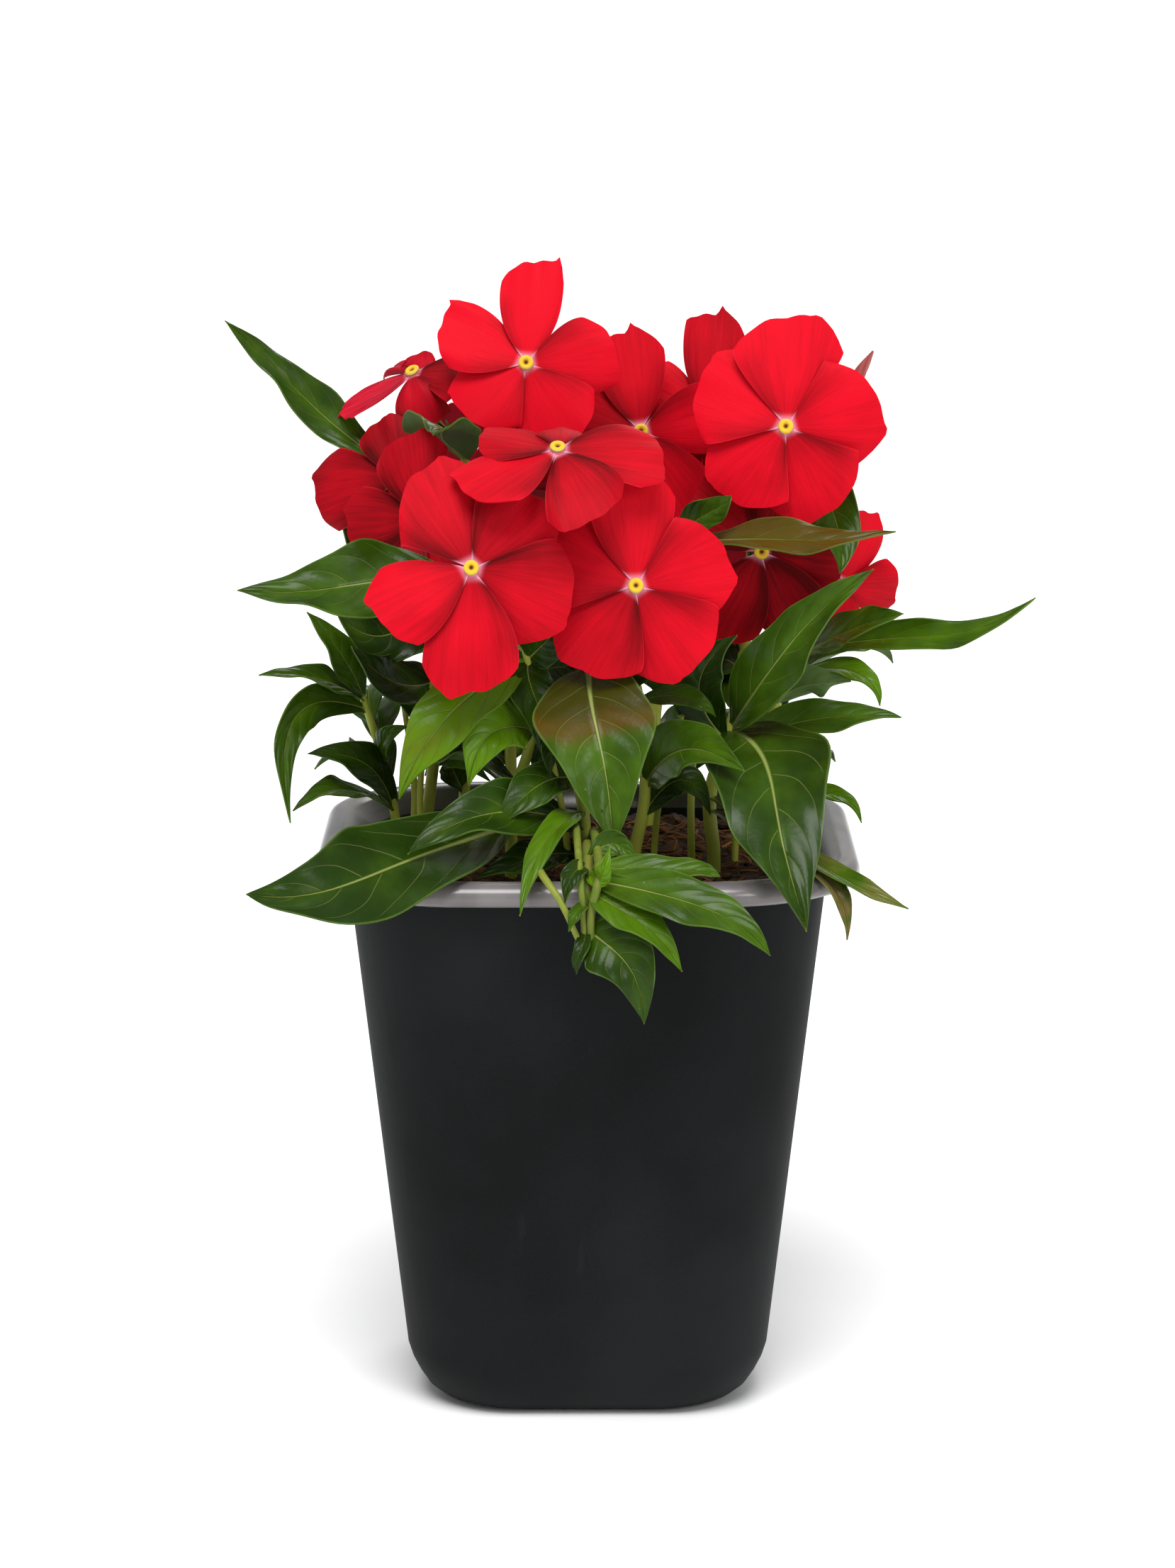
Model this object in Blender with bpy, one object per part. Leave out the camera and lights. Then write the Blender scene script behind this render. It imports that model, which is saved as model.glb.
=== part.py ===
# Potted Madagascar periwinkle: a tapered pot of potting mix with ten leafy stems and their red blooms.
# Lengths in the tables are millimetres. The origin is on the table under the pot's middle, +Z is up,
# +X is to the right and +Y is to the back.

import math
import random

import bmesh
import bpy
from mathutils import Vector, noise

MM = 0.001
GAP = 0.3  # clearance between neighbouring pieces

# Pot, its half-widths measured to its flat sides
POT_HEIGHT = 158.0
RIM_HALF = 75.0
BODY_TOP_HALF = 66.2
BODY_BASE_HALF = 49.5
FOOT_ROUNDING = 12.0
FOOT_STEPS = 3
LIP_HEIGHT = 6.5
WALL = 3.0
FLOOR_INSET = 12.0  # from the body's half-width at its base to the edge of the flat floor inside
RIM_CORNER = 41.0
BASE_CORNER = 24.0
BODY_TOP_CORNER = 34.0
INNER_CORNER = 28.5  # corner radius of the pot's inside at its top
CORNER_STEPS = 4
LIP_UNDERSIDE = 3.2  # inset of the lip's lower edge from the rim
DRAIN_RADIUS = 4.0
DRAIN_OFFSET = 24.0
ROUND_SIDES = 10

# Potting mix
SOIL_LEVEL = 150.5
SOIL_DOME = 2.5
SOIL_LUMP = 2.2
SOIL_EDGE = 2.5  # how far its edge lies below its level
SOIL_RINGS = (0.92, 0.76, 0.6, 0.44, 0.28, 0.12)
HOLE_DEPTH = 17.0
HOLE_CLEARANCE = 0.6

# Stems and leaves
STEM_SIDES = 6
TUBE_SIDES = 5
STEM_TAPER = (1.0, 1.0, 0.85, 0.7)
TWIG_RADII = (1.6, 1.5, 1.2)
LEAF_THICKNESS = 0.8
LEAF_KEEL = 0.22
LEAF_WAVES = 1.6
LEAF_SWAY = 0.8  # how far a leaf bends to the side and back, as a share of how far its edges wave
LEAF_LANES = (-1.0, 0.0, 1.0)
BIG_LEAF = 14.0  # breadth from which a leaf gets the finer steps
LEAF_STEPS = (0.0, 0.16, 0.37, 0.58, 0.8, 1.0)
SMALL_LEAF_STEPS = (0.0, 0.2, 0.5, 0.78, 1.0)

# Blooms
PETALS = 5
PETAL_THICKNESS = 0.7
PETAL_ROLL = 0.13
PETAL_DROOP = 2.0
BIG_PETAL = 26.0  # length from which a bloom's petals get the finer steps
PETAL_STEPS = (0.0, 0.4, 0.75, 1.0)
SMALL_PETAL_STEPS = (0.0, 0.5, 1.0)
PETAL_ROOT = 1.1
PETAL_WEDGE = 0.85  # half-breadth over distance from the eye, near the eye
PETAL_CORNER = 0.45  # how far clockwise of its middle a petal's point lies, as a share of its half-breadth
POINT_RISE = 0.06  # how far a petal's point stands out, and how far the edges beyond it fall short of
CORNER_DROP = 0.2  # a circle round the eye, as shares of the petal's length
SHOULDER_DROP = 0.22
PETAL_DEPTH = 1.0  # how far the petals' roots lie behind the eye's plane
NECK_FOOT_RADIUS = 1.5
NECK_RADIUS = 2.2
NECK_FLARE = 1.2  # height over which the neck widens
NECK_LENGTH = 2.3
NECK_TOP = 0.2
NECK_SIDES = 6
EYE_RADIUS = 2.1
EYE_HEIGHT = 0.9
EYE_SIDES = 6
TUBE_RADII = (1.1, 1.0, 1.9, 1.7, 1.1, 1.1, 1.35)  # stalk, calyx, slender tube
TUBE_STEPS = 5
TUBE_STRAIGHT = 18.0  # greatest length of the tube's straight end behind the bloom
BUD_SHAPE = (0.6, 0.9, 1.0, 0.7, 0.2)
BUD_STEPS = 5

# Each stem: the points that its middle passes through above the soil, its radius at the foot, and its
# twig, if it has one, as a list of points.
STEMS = {
    "left_outer": dict(path=[(-54, 8, 156), (-57, 5, 174), (-63, 0, 196)], radius=1.5),
    "left_a": dict(
        path=[(-46, 12, 156), (-43, 12, 180), (-40, 11, 205), (-43, 10, 230), (-48, 11, 248), (-54, 12, 258)],
        radius=1.7,
    ),
    "left_b": dict(
        path=[(-36, 18, 156), (-33, 18, 185), (-30, 18, 220), (-31, 16, 248), (-35, 13, 263)],
        radius=1.6,
    ),
    "front_left": dict(
        path=[(-21, -34, 156), (-20, -34, 174), (-15, -38, 193), (-16, -38, 212), (-20, -35, 227)],
        radius=1.7,
        twig=[(-17, -37, 216), (-26, -34, 224), (-34, -32, 231)],
    ),
    "front_centre": dict(
        path=[(-1, -46, 156), (-1, -46, 172), (-4, -42, 190), (0, -40, 210), (4, -36, 227)],
        radius=1.8,
        twig=[(-1, -46, 158), (0, -60, 166), (0, -76, 165), (0, -83, 157), (0, -84, 144)],
    ),
    "centre": dict(
        path=[(13, -25, 156), (16, -27, 175), (14, -22, 200), (6, -16, 225), (0, -14, 241)],
        radius=1.8,
        twig=[(3, -15, 233), (14, -18, 240), (26, -24, 243)],
    ),
    "right": dict(
        path=[
            (35, -22, 156),
            (34, -22, 173),
            (40, -24, 193),
            (44, -4, 212),
            (46, 5, 236),
            (50, 5, 256),
            (55, 0, 268),
        ],
        radius=1.9,
    ),
    "right_back": dict(
        path=[(48, 14, 156), (50, 16, 177), (56, 18, 200), (60, 20, 222), (62, 20, 246)],
        radius=1.8,
    ),
    "back_left": dict(
        path=[(-22, 40, 156), (-22, 42, 185), (-18, 40, 222), (-16, 30, 250), (-16, 25, 262)],
        radius=1.8,
    ),
    "back_right": dict(path=[(18, 42, 156), (20, 44, 185), (24, 42, 220), (22, 40, 247)], radius=1.8),
}

# Leaves at the front, by stem. Each grows from a height on the stem, from "end", which is the stem's
# end, or from a place on the twig given as ("twig", share). Then come the point half way along it, its
# tip, its breadth, the way its upper face looks, and how far its edges wave.
LEAVES = {
    "left_outer": [
        ("end", (-69, -4, 209), (-78, -6, 221), 11, (0.6, -0.7, 0.3), 0.8),
        (195, (-76, -9, 203), (-91, -16, 205), 9, (0.0, -0.5, 0.85), 1.0),
        (192, (-81, -16, 193), (-82, -26, 165), 11, (0.6, -0.8, 0.1), 1.0),
        (162, (-64, -6, 179), (-78, -12, 182), 11, (0.3, -0.8, 0.5), 1.0),
        (162, (-70, -8, 171), (-82, -18, 167), 10, (0.0, -0.4, 0.9), 1.0),
        (176, (-57, -4, 184), (-50, -8, 189), 7, (-0.6, -0.6, 0.0), 0.6),
    ],
    "left_a": [
        ("end", (-82, 21, 280), (-101, 14, 300), 12, (0.5, -0.8, 0.3), 2.2),
        (200, (-53, -12, 202), (-65, -22, 214), 16, (0.2, -0.8, 0.6), 1.2),
        (218, (-59, 12, 231), (-69, 10, 246), 11, (0.1, -0.9, 0.3), 0.8),
    ],
    "left_b": [
        (261, (-40, -9, 272), (-42, -26, 273), 22, (0.0, -0.25, 1.0), 2.6),
    ],
    "front_left": [
        (166, (-58, -82, 162), (-90, -90, 159), 28, (-0.15, -0.85, 0.5), 2.6),
        (193, (-25, -49, 195), (-32, -54, 181), 16, (0.2, -0.8, 0.6), 1.4),
        (212, (-38, -50, 199), (-51, -52, 177), 18, (-0.3, -0.9, 0.4), 1.4),
        (("twig", 1.0), (-64, -36, 233), (-95, -38, 232), 22, (0.1, -0.75, 0.65), 2.6),
        (206, (-6, -29, 209), (6, -26, 198), 14, (0.0, -0.9, 0.4), 1.0),
        (200, (-29, -28, 207), (-39, -24, 198), 13, (-0.2, -0.9, 0.4), 1.0),
    ],
    "front_centre": [
        (168, (-26, -62, 175), (-48, -72, 166), 17, (0.0, -0.7, 0.7), 1.5),
        (181, (-14, -56, 181), (-25, -61, 170), 13, (-0.2, -0.8, 0.5), 1.0),
        (211, (3, -59, 195), (7, -68, 167), 31, (0.0, -1.0, 0.15), 1.2),
        (172, (-10, -68, 170), (-18, -85, 152), 9, (-0.3, -0.8, 0.5), 0.8),
        (192, (-9, -50, 191), (-10, -52, 183), 7, (0.0, -1.0, 0.1), 0.4),
        (("twig", 0.72), (13, -90, 152), (25, -94, 139), 12, (0.5, -0.8, 0.5), 1.0),
        (("twig", 0.93), (9, -91, 142), (15, -91, 124), 17, (0.1, -1.0, 0.2), 1.2),
        (("twig", 0.55), (23, -83, 164), (35, -86, 163), 9, (0.0, -0.6, 0.8), 1.0),
        (("twig", 0.65), (30, -92, 156), (48, -97, 144), 14, (0.3, -0.8, 0.6), 1.2),
        (196, (8, -34, 205), (22, -34, 209), 12, (0.1, -0.9, 0.4), 1.0),
    ],
    "centre": [
        (176, (27, -48, 190), (42, -64, 187), 17, (0.0, -0.9, 0.5), 1.5),
        (199, (27, -36, 202), (35, -38, 197), 7, (0.0, -0.8, 0.6), 0.6),
        (167, (26, -30, 178), (34, -30, 168), 11, (0.0, -0.7, 0.7), 0.8),
        (("twig", 1.0), (55, -40, 246), (83, -44, 249), 13, (0.0, -0.5, 0.85), 1.6),
        (("twig", 0.85), (33, -30, 252), (39, -32, 257), 9, (0.4, -0.7, 0.6), 0.8),
        (238, (-3, -38, 258), (6, -51, 261), 7, (-0.3, -0.5, 0.8), 0.6),
    ],
    "right": [
        (191, (50, -60, 180), (58, -86, 148), 33, (0.1, -0.9, 0.45), 2.4),
        (186, (66, -28, 195), (86, -32, 196), 12, (0.0, -0.6, 0.8), 1.2),
        (191, (54, -44, 217), (77, -46, 239), 18, (-0.3, -0.8, 0.5), 2.4),
        (172, (66, -62, 159), (86, -71, 151), 7, (0.0, -0.5, 0.9), 1.0),
        (266, (68, -17, 249), (69, -27, 235), 15, (0.1, -1.0, 0.1), 1.0),
        (188, (31, -28, 206), (41, -28, 218), 14, (-0.3, -0.9, 0.3), 1.0),
    ],
    "right_back": [
        (199, (75, 0, 203), (82, -4, 194), 9, (0.2, -0.5, 0.8), 0.8),
        (203, (72, -20, 218), (86, -34, 225), 14, (0.0, -0.8, 0.6), 1.2),
        (206, (95, -5, 214), (124, -12, 226), 9, (0.0, -0.8, 0.6), 2.2),
        (191, (62, 3, 199), (74, 3, 200), 13, (0.0, 0.85, 0.5), 1.0),
        (161, (69, 1, 168), (77, -6, 161), 6, (0.0, -0.5, 0.9), 0.6),
    ],
    "back_left": [],
    "back_right": [],
}

# Leaves at the back and sides: height on the stem, compass direction in degrees from +X towards +Y,
# length and breadth.
SIDE_LEAVES = {
    "left_outer": [(182, 95, 40, 13), (170, 110, 36, 12)],
    "left_a": [],
    "left_b": [(186, 120, 38, 15)],
    "front_left": [(178, 175, 34, 12)],
    "front_centre": [],
    "centre": [(190, 150, 34, 12)],
    "right": [(178, 50, 32, 12)],
    "right_back": [(182, 95, 44, 18), (222, 38, 30, 14)],
    "back_left": [(168, 130, 48, 19), (170, 60, 46, 18), (178, 100, 48, 19), (194, 172, 40, 16)],
    "back_right": [(170, 50, 48, 19), (172, 115, 44, 17), (190, 80, 48, 19), (196, 45, 38, 15)],
}

# Blooms: the eye's place, the way the bloom faces, and the stem and height that its tube grows from.
# Blooms at the front list each petal's clock angle, length and breadth as seen from before the bloom.
# A fourth value says how far that petal's round shoulder is cut, if not by SHOULDER_DROP. The others give
# the bloom's breadth, its first petal's clock angle and the petals' breadth. A corner says where the
# petals' points lie, if not at PETAL_CORNER.
BLOOMS = {
    "bloom_01": dict(
        eye=(-17, -2, 290),
        faces=(0, -1, 0.3),
        tube=("back_left", 262),
        petals=[(4, 29, 18), (80, 25, 23), (148, 25, 22), (226, 22, 21), (294, 26, 21)],
        corner=0.8,
    ),
    "bloom_02": dict(
        eye=(54, -25, 275),
        faces=(-0.12, -1, 0.2),
        tube=("right", 267),
        petals=[(359, 30, 35), (73, 26, 38), (151, 26, 37), (219, 25, 35), (297, 27, 36)],
        corner=0.55,
    ),
    "bloom_03": dict(
        eye=(-31, -58, 241),
        faces=(0, -1, 0.3),
        tube=("front_left", 226),
        petals=[(42, 26, 31), (108, 28, 36), (180, 33, 28), (242, 28, 26), (333, 30, 33, 0.9)],
    ),
    "bloom_04": dict(
        eye=(13, -50, 235),
        faces=(0, -1, 0.2),
        tube=("front_centre", 226),
        petals=[(357, 30, 25), (72, 26, 37), (143, 27, 36), (213, 27, 34), (293, 26, 36)],
    ),
    "bloom_05": dict(
        eye=(-8, -47, 272),
        faces=(0, -0.55, 0.83),
        tube=("centre", 240),
        petals=[(2, 14, 19), (88, 28, 23), (154, 26, 26), (236, 28, 26), (288, 22, 18)],
        corner=0.85,
    ),
    "bloom_06": dict(
        eye=(15, 15, 269),
        faces=(0.1, -1, 0.15),
        tube=("back_right", 238),
        petals=[(352, 28, 22), (78, 24, 22), (150, 29, 24), (222, 26, 22), (292, 25, 22)],
        corner=0.2,
    ),
    "bloom_07": dict(
        eye=(34, 28, 273),
        faces=(0, -1, 0.2),
        tube=("back_right", 246),
        petals=[(5, 28, 18), (77, 20, 20), (149, 20, 20), (221, 22, 20), (293, 21, 20)],
        corner=0.2,
    ),
    "bloom_08": dict(
        eye=(-49, 14, 286),
        faces=(-0.35, -0.45, 0.82),
        tube=("left_b", 262),
        petals=[(350, 9, 17), (78, 18, 20), (150, 15, 19), (228, 24, 12), (300, 15, 14)],
    ),
    "bloom_09": dict(
        eye=(-53, 0, 258),
        faces=(-0.3, -0.9, 0.3),
        tube=("left_a", 238),
        petals=[(334, 18, 17), (50, 11, 12), (118, 11, 12), (185, 13, 15), (259, 27, 27)],
    ),
    "bloom_10": dict(
        eye=(-46, -19, 249),
        faces=(-0.4, -0.9, 0.1),
        tube=("left_a", 222),
        petals=[(343, 23, 24), (75, 20, 24), (150, 20, 20), (205, 19, 18), (262, 24, 22)],
    ),
    "bloom_11": dict(
        eye=(48, -14, 239),
        faces=(0, -1, -0.05),
        tube=("right", 220),
        petals=[(18, 17, 18), (96, 22, 26), (152, 25, 22), (206, 28, 22), (310, 24, 24)],
    ),
    "bloom_12": dict(
        eye=(72, 8, 226),
        faces=(0.45, -0.89, 0),
        tube=("right_back", 206),
        petals=[(25, 22, 18), (97, 19, 19), (172, 12, 12), (241, 13, 14), (313, 22, 18)],
    ),
    "bloom_13": dict(
        eye=(-20, 1, 255), faces=(0, -0.9, 0.4), tube=("left_b", 232), breadth=34, turn=-8, petal=15
    ),
    "bloom_14": dict(
        eye=(-38, 48, 252), faces=(-0.5, 0.8, 0.35), tube=("back_left", 226), breadth=50, turn=10, petal=22
    ),
    "bloom_15": dict(
        eye=(2, 62, 258), faces=(0.05, 0.9, 0.4), tube=("back_right", 226), breadth=52, turn=30, petal=23
    ),
    "bloom_16": dict(
        eye=(50, 52, 242), faces=(0.5, 0.8, 0.3), tube=("back_right", 212), breadth=50, turn=0, petal=22
    ),
    "bloom_17": dict(
        eye=(-1, 67, 220), faces=(-0.1, 1, 0.1), tube=("back_left", 198), breadth=50, turn=-15, petal=22
    ),
    "bloom_18": dict(
        eye=(-50, 36, 228), faces=(-0.8, 0.6, 0.2), tube=("left_a", 198), breadth=46, turn=20, petal=20
    ),
}

# Buds: the base, the tip, the greatest radius, and the stem and height that the bud grows from.
BUDS = {
    "bud_right": dict(base=(71, 6, 278), tip=(79, 0, 293), radius=2.0, tube=("right_back", 245)),
    "bud_back": dict(base=(8, 46, 272), tip=(10, 46, 287), radius=1.9, tube=("back_right", 245)),
}

# Colour and roughness of each material
FINISHES = {
    "pot": ((0.012, 0.015, 0.017), 0.45),
    "soil": ((0.05, 0.025, 0.012), 0.95),
    "leaf": ((0.045, 0.16, 0.02), 0.45),
    "petal": ((0.75, 0.006, 0.02), 0.5),
    "eye": ((0.85, 0.62, 0.04), 0.6),
    "bud": ((0.35, 0.06, 0.06), 0.55),
}


def make_materials():
    materials = {}
    for name, (colour, roughness) in FINISHES.items():
        material = bpy.data.materials.new(name)
        material.use_nodes = True
        shader = material.node_tree.nodes["Principled BSDF"]
        shader.inputs["Base Color"].default_value = (*colour, 1.0)
        shader.inputs["Roughness"].default_value = roughness
        shader.inputs["Metallic"].default_value = 0.0
        materials[name] = material
    return materials


def solid(name, points, faces):
    """An object from points in millimetres, with its faces turned outwards."""
    mesh = bmesh.new()
    corners = [mesh.verts.new(Vector(p) * MM) for p in points]
    for face in faces:
        mesh.faces.new([corners[i] for i in face])
    bmesh.ops.recalc_face_normals(mesh, faces=mesh.faces)
    data = bpy.data.meshes.new(name)
    mesh.to_mesh(data)
    mesh.free()
    data.shade_smooth()
    data.set_sharp_from_angle(angle=math.radians(40))
    obj = bpy.data.objects.new(name, data)
    bpy.context.scene.collection.objects.link(obj)
    return obj


def loft(name, rings):
    """A closed solid through rings of equally many points, with a flat face at each end."""
    count = len(rings[0])
    points = [p for ring in rings for p in ring]
    faces = [tuple(range(count)), tuple(range(len(points) - count, len(points)))]
    for r in range(len(rings) - 1):
        for i in range(count):
            j = (i + 1) % count
            low, high = r * count, (r + 1) * count
            faces.append((low + i, low + j, high + j, high + i))
    return solid(name, points, faces)


def blade(name, surface, along, across, thickness):
    """A thin closed sheet on a surface, split into triangles alike on both faces."""
    rows, lanes = len(along), len(across)
    step = 0.01
    upper, lower = [], []
    for u in along:
        for v in across:
            point = surface(u, v)
            across_way = surface(u, v + step) - surface(u, v - step)
            along_way = surface(min(u + step, 1.0), v) - surface(max(u - step, 0.0), v)
            normal = across_way.cross(along_way).normalized()
            upper.append(point + normal * thickness / 2)
            lower.append(point - normal * thickness / 2)
    offset = len(upper)
    faces = []
    for i in range(rows - 1):
        for j in range(lanes - 1):
            a, b = i * lanes + j, i * lanes + j + 1
            c, d = b + lanes, a + lanes
            for triangle in ((a, b, c), (a, c, d)):
                faces.append(triangle)
                faces.append(tuple(offset + k for k in triangle))
    rim = list(range(lanes))
    rim += [i * lanes + lanes - 1 for i in range(1, rows)]
    rim += [(rows - 1) * lanes + j for j in range(lanes - 2, -1, -1)]
    rim += [i * lanes for i in range(rows - 2, 0, -1)]
    for k, a in enumerate(rim):
        b = rim[(k + 1) % len(rim)]
        faces.append((a, b, offset + b))
        faces.append((a, offset + b, offset + a))
    return solid(name, upper + lower, faces)


def combine(host, others, operation):
    """Apply one Boolean of the host with all the others, and remove them."""
    group = bpy.data.collections.new("others")
    bpy.context.scene.collection.children.link(group)
    for other in others:
        bpy.context.scene.collection.objects.unlink(other)
        group.objects.link(other)
    boolean = host.modifiers.new("boolean", "BOOLEAN")
    boolean.operation = operation
    boolean.operand_type = "COLLECTION"
    boolean.collection = group
    graph = bpy.context.evaluated_depsgraph_get()
    result = bpy.data.meshes.new_from_object(host.evaluated_get(graph))
    host.modifiers.clear()
    host.data = result
    for other in others:
        bpy.data.objects.remove(other)
    bpy.data.collections.remove(group)


def fuse(name, pieces, material):
    """Join the pieces of a node into one body."""
    host = pieces[0]
    host.name = name
    combine(host, pieces[1:], "UNION")
    host.data.materials.clear()
    host.data.materials.append(material)


def through(points, t):
    """The point at t, from 0 to 1, on a smooth curve through the points."""
    spans = len(points) - 1
    place = min(max(t, 0.0), 1.0) * spans
    i = min(int(place), spans - 1)
    s = place - i
    p1, p2 = Vector(points[i]), Vector(points[i + 1])
    p0 = Vector(points[i - 1]) if i > 0 else 2 * p1 - p2
    p3 = Vector(points[i + 2]) if i + 2 <= spans else 2 * p2 - p1
    cubic = (3 * p1 - p0 - 3 * p2 + p3) * s**3
    return 0.5 * (2 * p1 + (p2 - p0) * s + (2 * p0 - 5 * p1 + 4 * p2 - p3) * s * s + cubic)


def tube(name, points, radii, sides, steps):
    """A round bar along a smooth curve, its radius read from a list spread evenly along it."""
    places = [through(points, k / steps) for k in range(steps + 1)]
    side = Vector((1.0, 0.0, 0.0))
    rings = []
    for k, place in enumerate(places):
        way = (places[min(k + 1, steps)] - places[max(k - 1, 0)]).normalized()
        side = (side - way * side.dot(way)).normalized()
        other = way.cross(side)
        spread = k / steps * (len(radii) - 1)
        i = min(int(spread), len(radii) - 2)
        radius = radii[i] + (radii[i + 1] - radii[i]) * (spread - i)
        angles = [2 * math.pi * n / sides for n in range(sides)]
        rings.append([place + radius * (math.cos(a) * side + math.sin(a) * other) for a in angles])
    return loft(name, rings)


def rounded_square(half, corner, z):
    """Points of a level square of half-width half whose corners have the radius corner."""
    ring = []
    for quarter in range(4):
        middle = math.radians(45 + 90 * quarter)
        centre_x = (half - corner) * math.copysign(1, math.cos(middle))
        centre_y = (half - corner) * math.copysign(1, math.sin(middle))
        for k in range(CORNER_STEPS + 1):
            angle = math.radians(90 * quarter + 90 * k / CORNER_STEPS)
            ring.append((centre_x + corner * math.cos(angle), centre_y + corner * math.sin(angle), z))
    return ring


def inner_half(z):
    """Half-width of the pot's inside at height z, below the sloping inner side of the lip."""
    outer = BODY_BASE_HALF + (BODY_TOP_HALF - BODY_BASE_HALF) * z / (POT_HEIGHT - LIP_HEIGHT)
    return outer - WALL


def make_pot(material):
    lip_low = POT_HEIGHT - LIP_HEIGHT
    rings = []
    for k in range(FOOT_STEPS + 1):
        angle = math.radians(90 * k / FOOT_STEPS)
        inset = FOOT_ROUNDING * (1 - math.sin(angle))
        height = FOOT_ROUNDING * (1 - math.cos(angle))
        rings.append(rounded_square(BODY_BASE_HALF - inset, BASE_CORNER - 0.9 * inset, height))
    rings.append(rounded_square(BODY_TOP_HALF, BODY_TOP_CORNER, lip_low))
    # Inset from the rim's half-width, and drop below the crest, from the lip's underside over the
    # crest to its inner slope.
    lip = [(LIP_UNDERSIDE, LIP_HEIGHT), (1.0, LIP_HEIGHT - 0.4)]
    lip += [(0.0, 4.2), (0.6, 2.0), (2.4, 0.4), (5.0, 0.0), (7.0, 0.6)]
    for inset, drop in lip:
        rings.append(rounded_square(RIM_HALF - inset, RIM_CORNER - inset, POT_HEIGHT - drop))
    inner_top = lip_low - 0.5
    rings.append(rounded_square(inner_half(inner_top), INNER_CORNER, inner_top))
    rings.append(rounded_square(inner_half(FOOT_ROUNDING), BASE_CORNER - WALL, FOOT_ROUNDING))
    rings.append(rounded_square(BODY_BASE_HALF - FLOOR_INSET, BASE_CORNER - FLOOR_INSET, WALL))
    pot = loft("pot", rings)
    drains = []
    for x in (-DRAIN_OFFSET, DRAIN_OFFSET):
        for y in (-DRAIN_OFFSET, DRAIN_OFFSET):
            ends = [(x, y, -WALL), (x, y, 2 * WALL)]
            drains.append(tube("drain", ends, (DRAIN_RADIUS, DRAIN_RADIUS), ROUND_SIDES, 1))
    combine(pot, drains, "DIFFERENCE")
    pot.data.materials.append(material)


def soil_height(x, y):
    """Height of the potting mix: a low dome with coarse lumps of bark."""
    dome = SOIL_DOME * max(0.0, 1.0 - (x * x + y * y) / 60.0**2)
    lumps = noise.noise(Vector((x / 9.0, y / 9.0, 3.7))) + 0.6 * noise.noise(Vector((x / 4.0, y / 4.0, 9.1)))
    return SOIL_LEVEL - 1.0 + dome + SOIL_LUMP * lumps


def make_soil(material):
    edge = SOIL_LEVEL - SOIL_EDGE
    edge_half = inner_half(edge) - GAP
    rings = [
        rounded_square(BODY_BASE_HALF - FLOOR_INSET - GAP, BASE_CORNER - FLOOR_INSET, WALL + GAP),
        rounded_square(inner_half(FOOT_ROUNDING) - 2 * GAP, BASE_CORNER - WALL, FOOT_ROUNDING + GAP),
        rounded_square(edge_half, INNER_CORNER, edge),
    ]
    for scale in SOIL_RINGS:
        flat = rounded_square(edge_half * scale, INNER_CORNER * scale, 0.0)
        rings.append([(x, y, soil_height(x, y)) for x, y, _ in flat])
    soil = loft("soil", rings)
    holes = []
    for stem in STEMS.values():
        x, y, top = stem["path"][0]
        radius = stem["radius"] + HOLE_CLEARANCE
        ends = [(x, y, SOIL_LEVEL - HOLE_DEPTH), (x, y, top)]
        holes.append(tube("hole", ends, (radius, radius), ROUND_SIDES, 1))
    combine(soil, holes, "DIFFERENCE")
    soil.data.materials.append(material)


def stem_points(stem):
    """The stem's middle from its foot in the soil, upright until it is clear of its hole."""
    x, y, _ = stem["path"][0]
    return [(x, y, SOIL_LEVEL - HOLE_DEPTH + GAP), (x, y, SOIL_LEVEL - 5.0)] + stem["path"]


def place_on(stem, where):
    """The point on the stem's or twig's middle that a leaf or tube grows from."""
    if where == "end":
        return Vector(stem["path"][-1])
    if isinstance(where, tuple):
        return through(stem["twig"], where[1])
    points = stem_points(stem)
    low, high = 0.0, 1.0
    for _ in range(24):
        middle = (low + high) / 2
        if through(points, middle).z < where:
            low = middle
        else:
            high = middle
    return through(points, low)


def leaf_breadth(u):
    """Half the leaf's breadth at u as a share of its greatest: broadest below the middle, long-pointed."""
    if not 0.0 < u < 1.0:
        return 0.0
    return 1.06 * math.sin(math.pi * u**0.8) ** 0.95 * (1 - 0.28 * u * u)


def leaf_surface(base, via, tip, breadth, face, wave, phase):
    """The leaf's middle surface, by u from foot to tip and v from side to side."""
    base, via, tip, face = Vector(base), Vector(via), Vector(tip), Vector(face)
    control = 2 * via - (base + tip) / 2
    sway = LEAF_SWAY * wave * math.cos(phase)

    def surface(u, v):
        centre = (1 - u) ** 2 * base + 2 * u * (1 - u) * control + u * u * tip
        way = ((1 - u) * (control - base) + u * (tip - control)).normalized()
        side = way.cross(face).normalized()
        up = side.cross(way)
        centre += side * (sway * math.sin(2 * math.pi * u))
        half = max(leaf_breadth(u) * breadth / 2, 1.0 - 0.5 * u)
        turn = 2 * math.pi * LEAF_WAVES * u + phase + (1.9 if v > 0 else 0.0)
        ripple = wave * math.sin(turn) * math.sin(math.pi * u)
        return centre + side * (v * half) + up * (LEAF_KEEL * abs(v) * half + ripple * v * v)

    return surface


def side_leaf(base, direction, length):
    """Half-way point, tip and face of a leaf that leaves its stem in a compass direction."""
    way = Vector((math.cos(math.radians(direction)), math.sin(math.radians(direction)), 0.0))
    up = Vector((0.0, 0.0, 1.0))
    via = base + way * 0.52 * length + up * 0.2 * length
    tip = base + way * 0.95 * length + up * 0.02 * length
    return via, tip, way * 0.35 + up


def make_leaf(name, base, shape, phase):
    via, tip, breadth, face, wave = shape
    surface = leaf_surface(base, via, tip, breadth, face, wave, phase)
    steps = LEAF_STEPS if breadth >= BIG_LEAF else SMALL_LEAF_STEPS
    return blade(name, surface, steps, LEAF_LANES, LEAF_THICKNESS)


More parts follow.
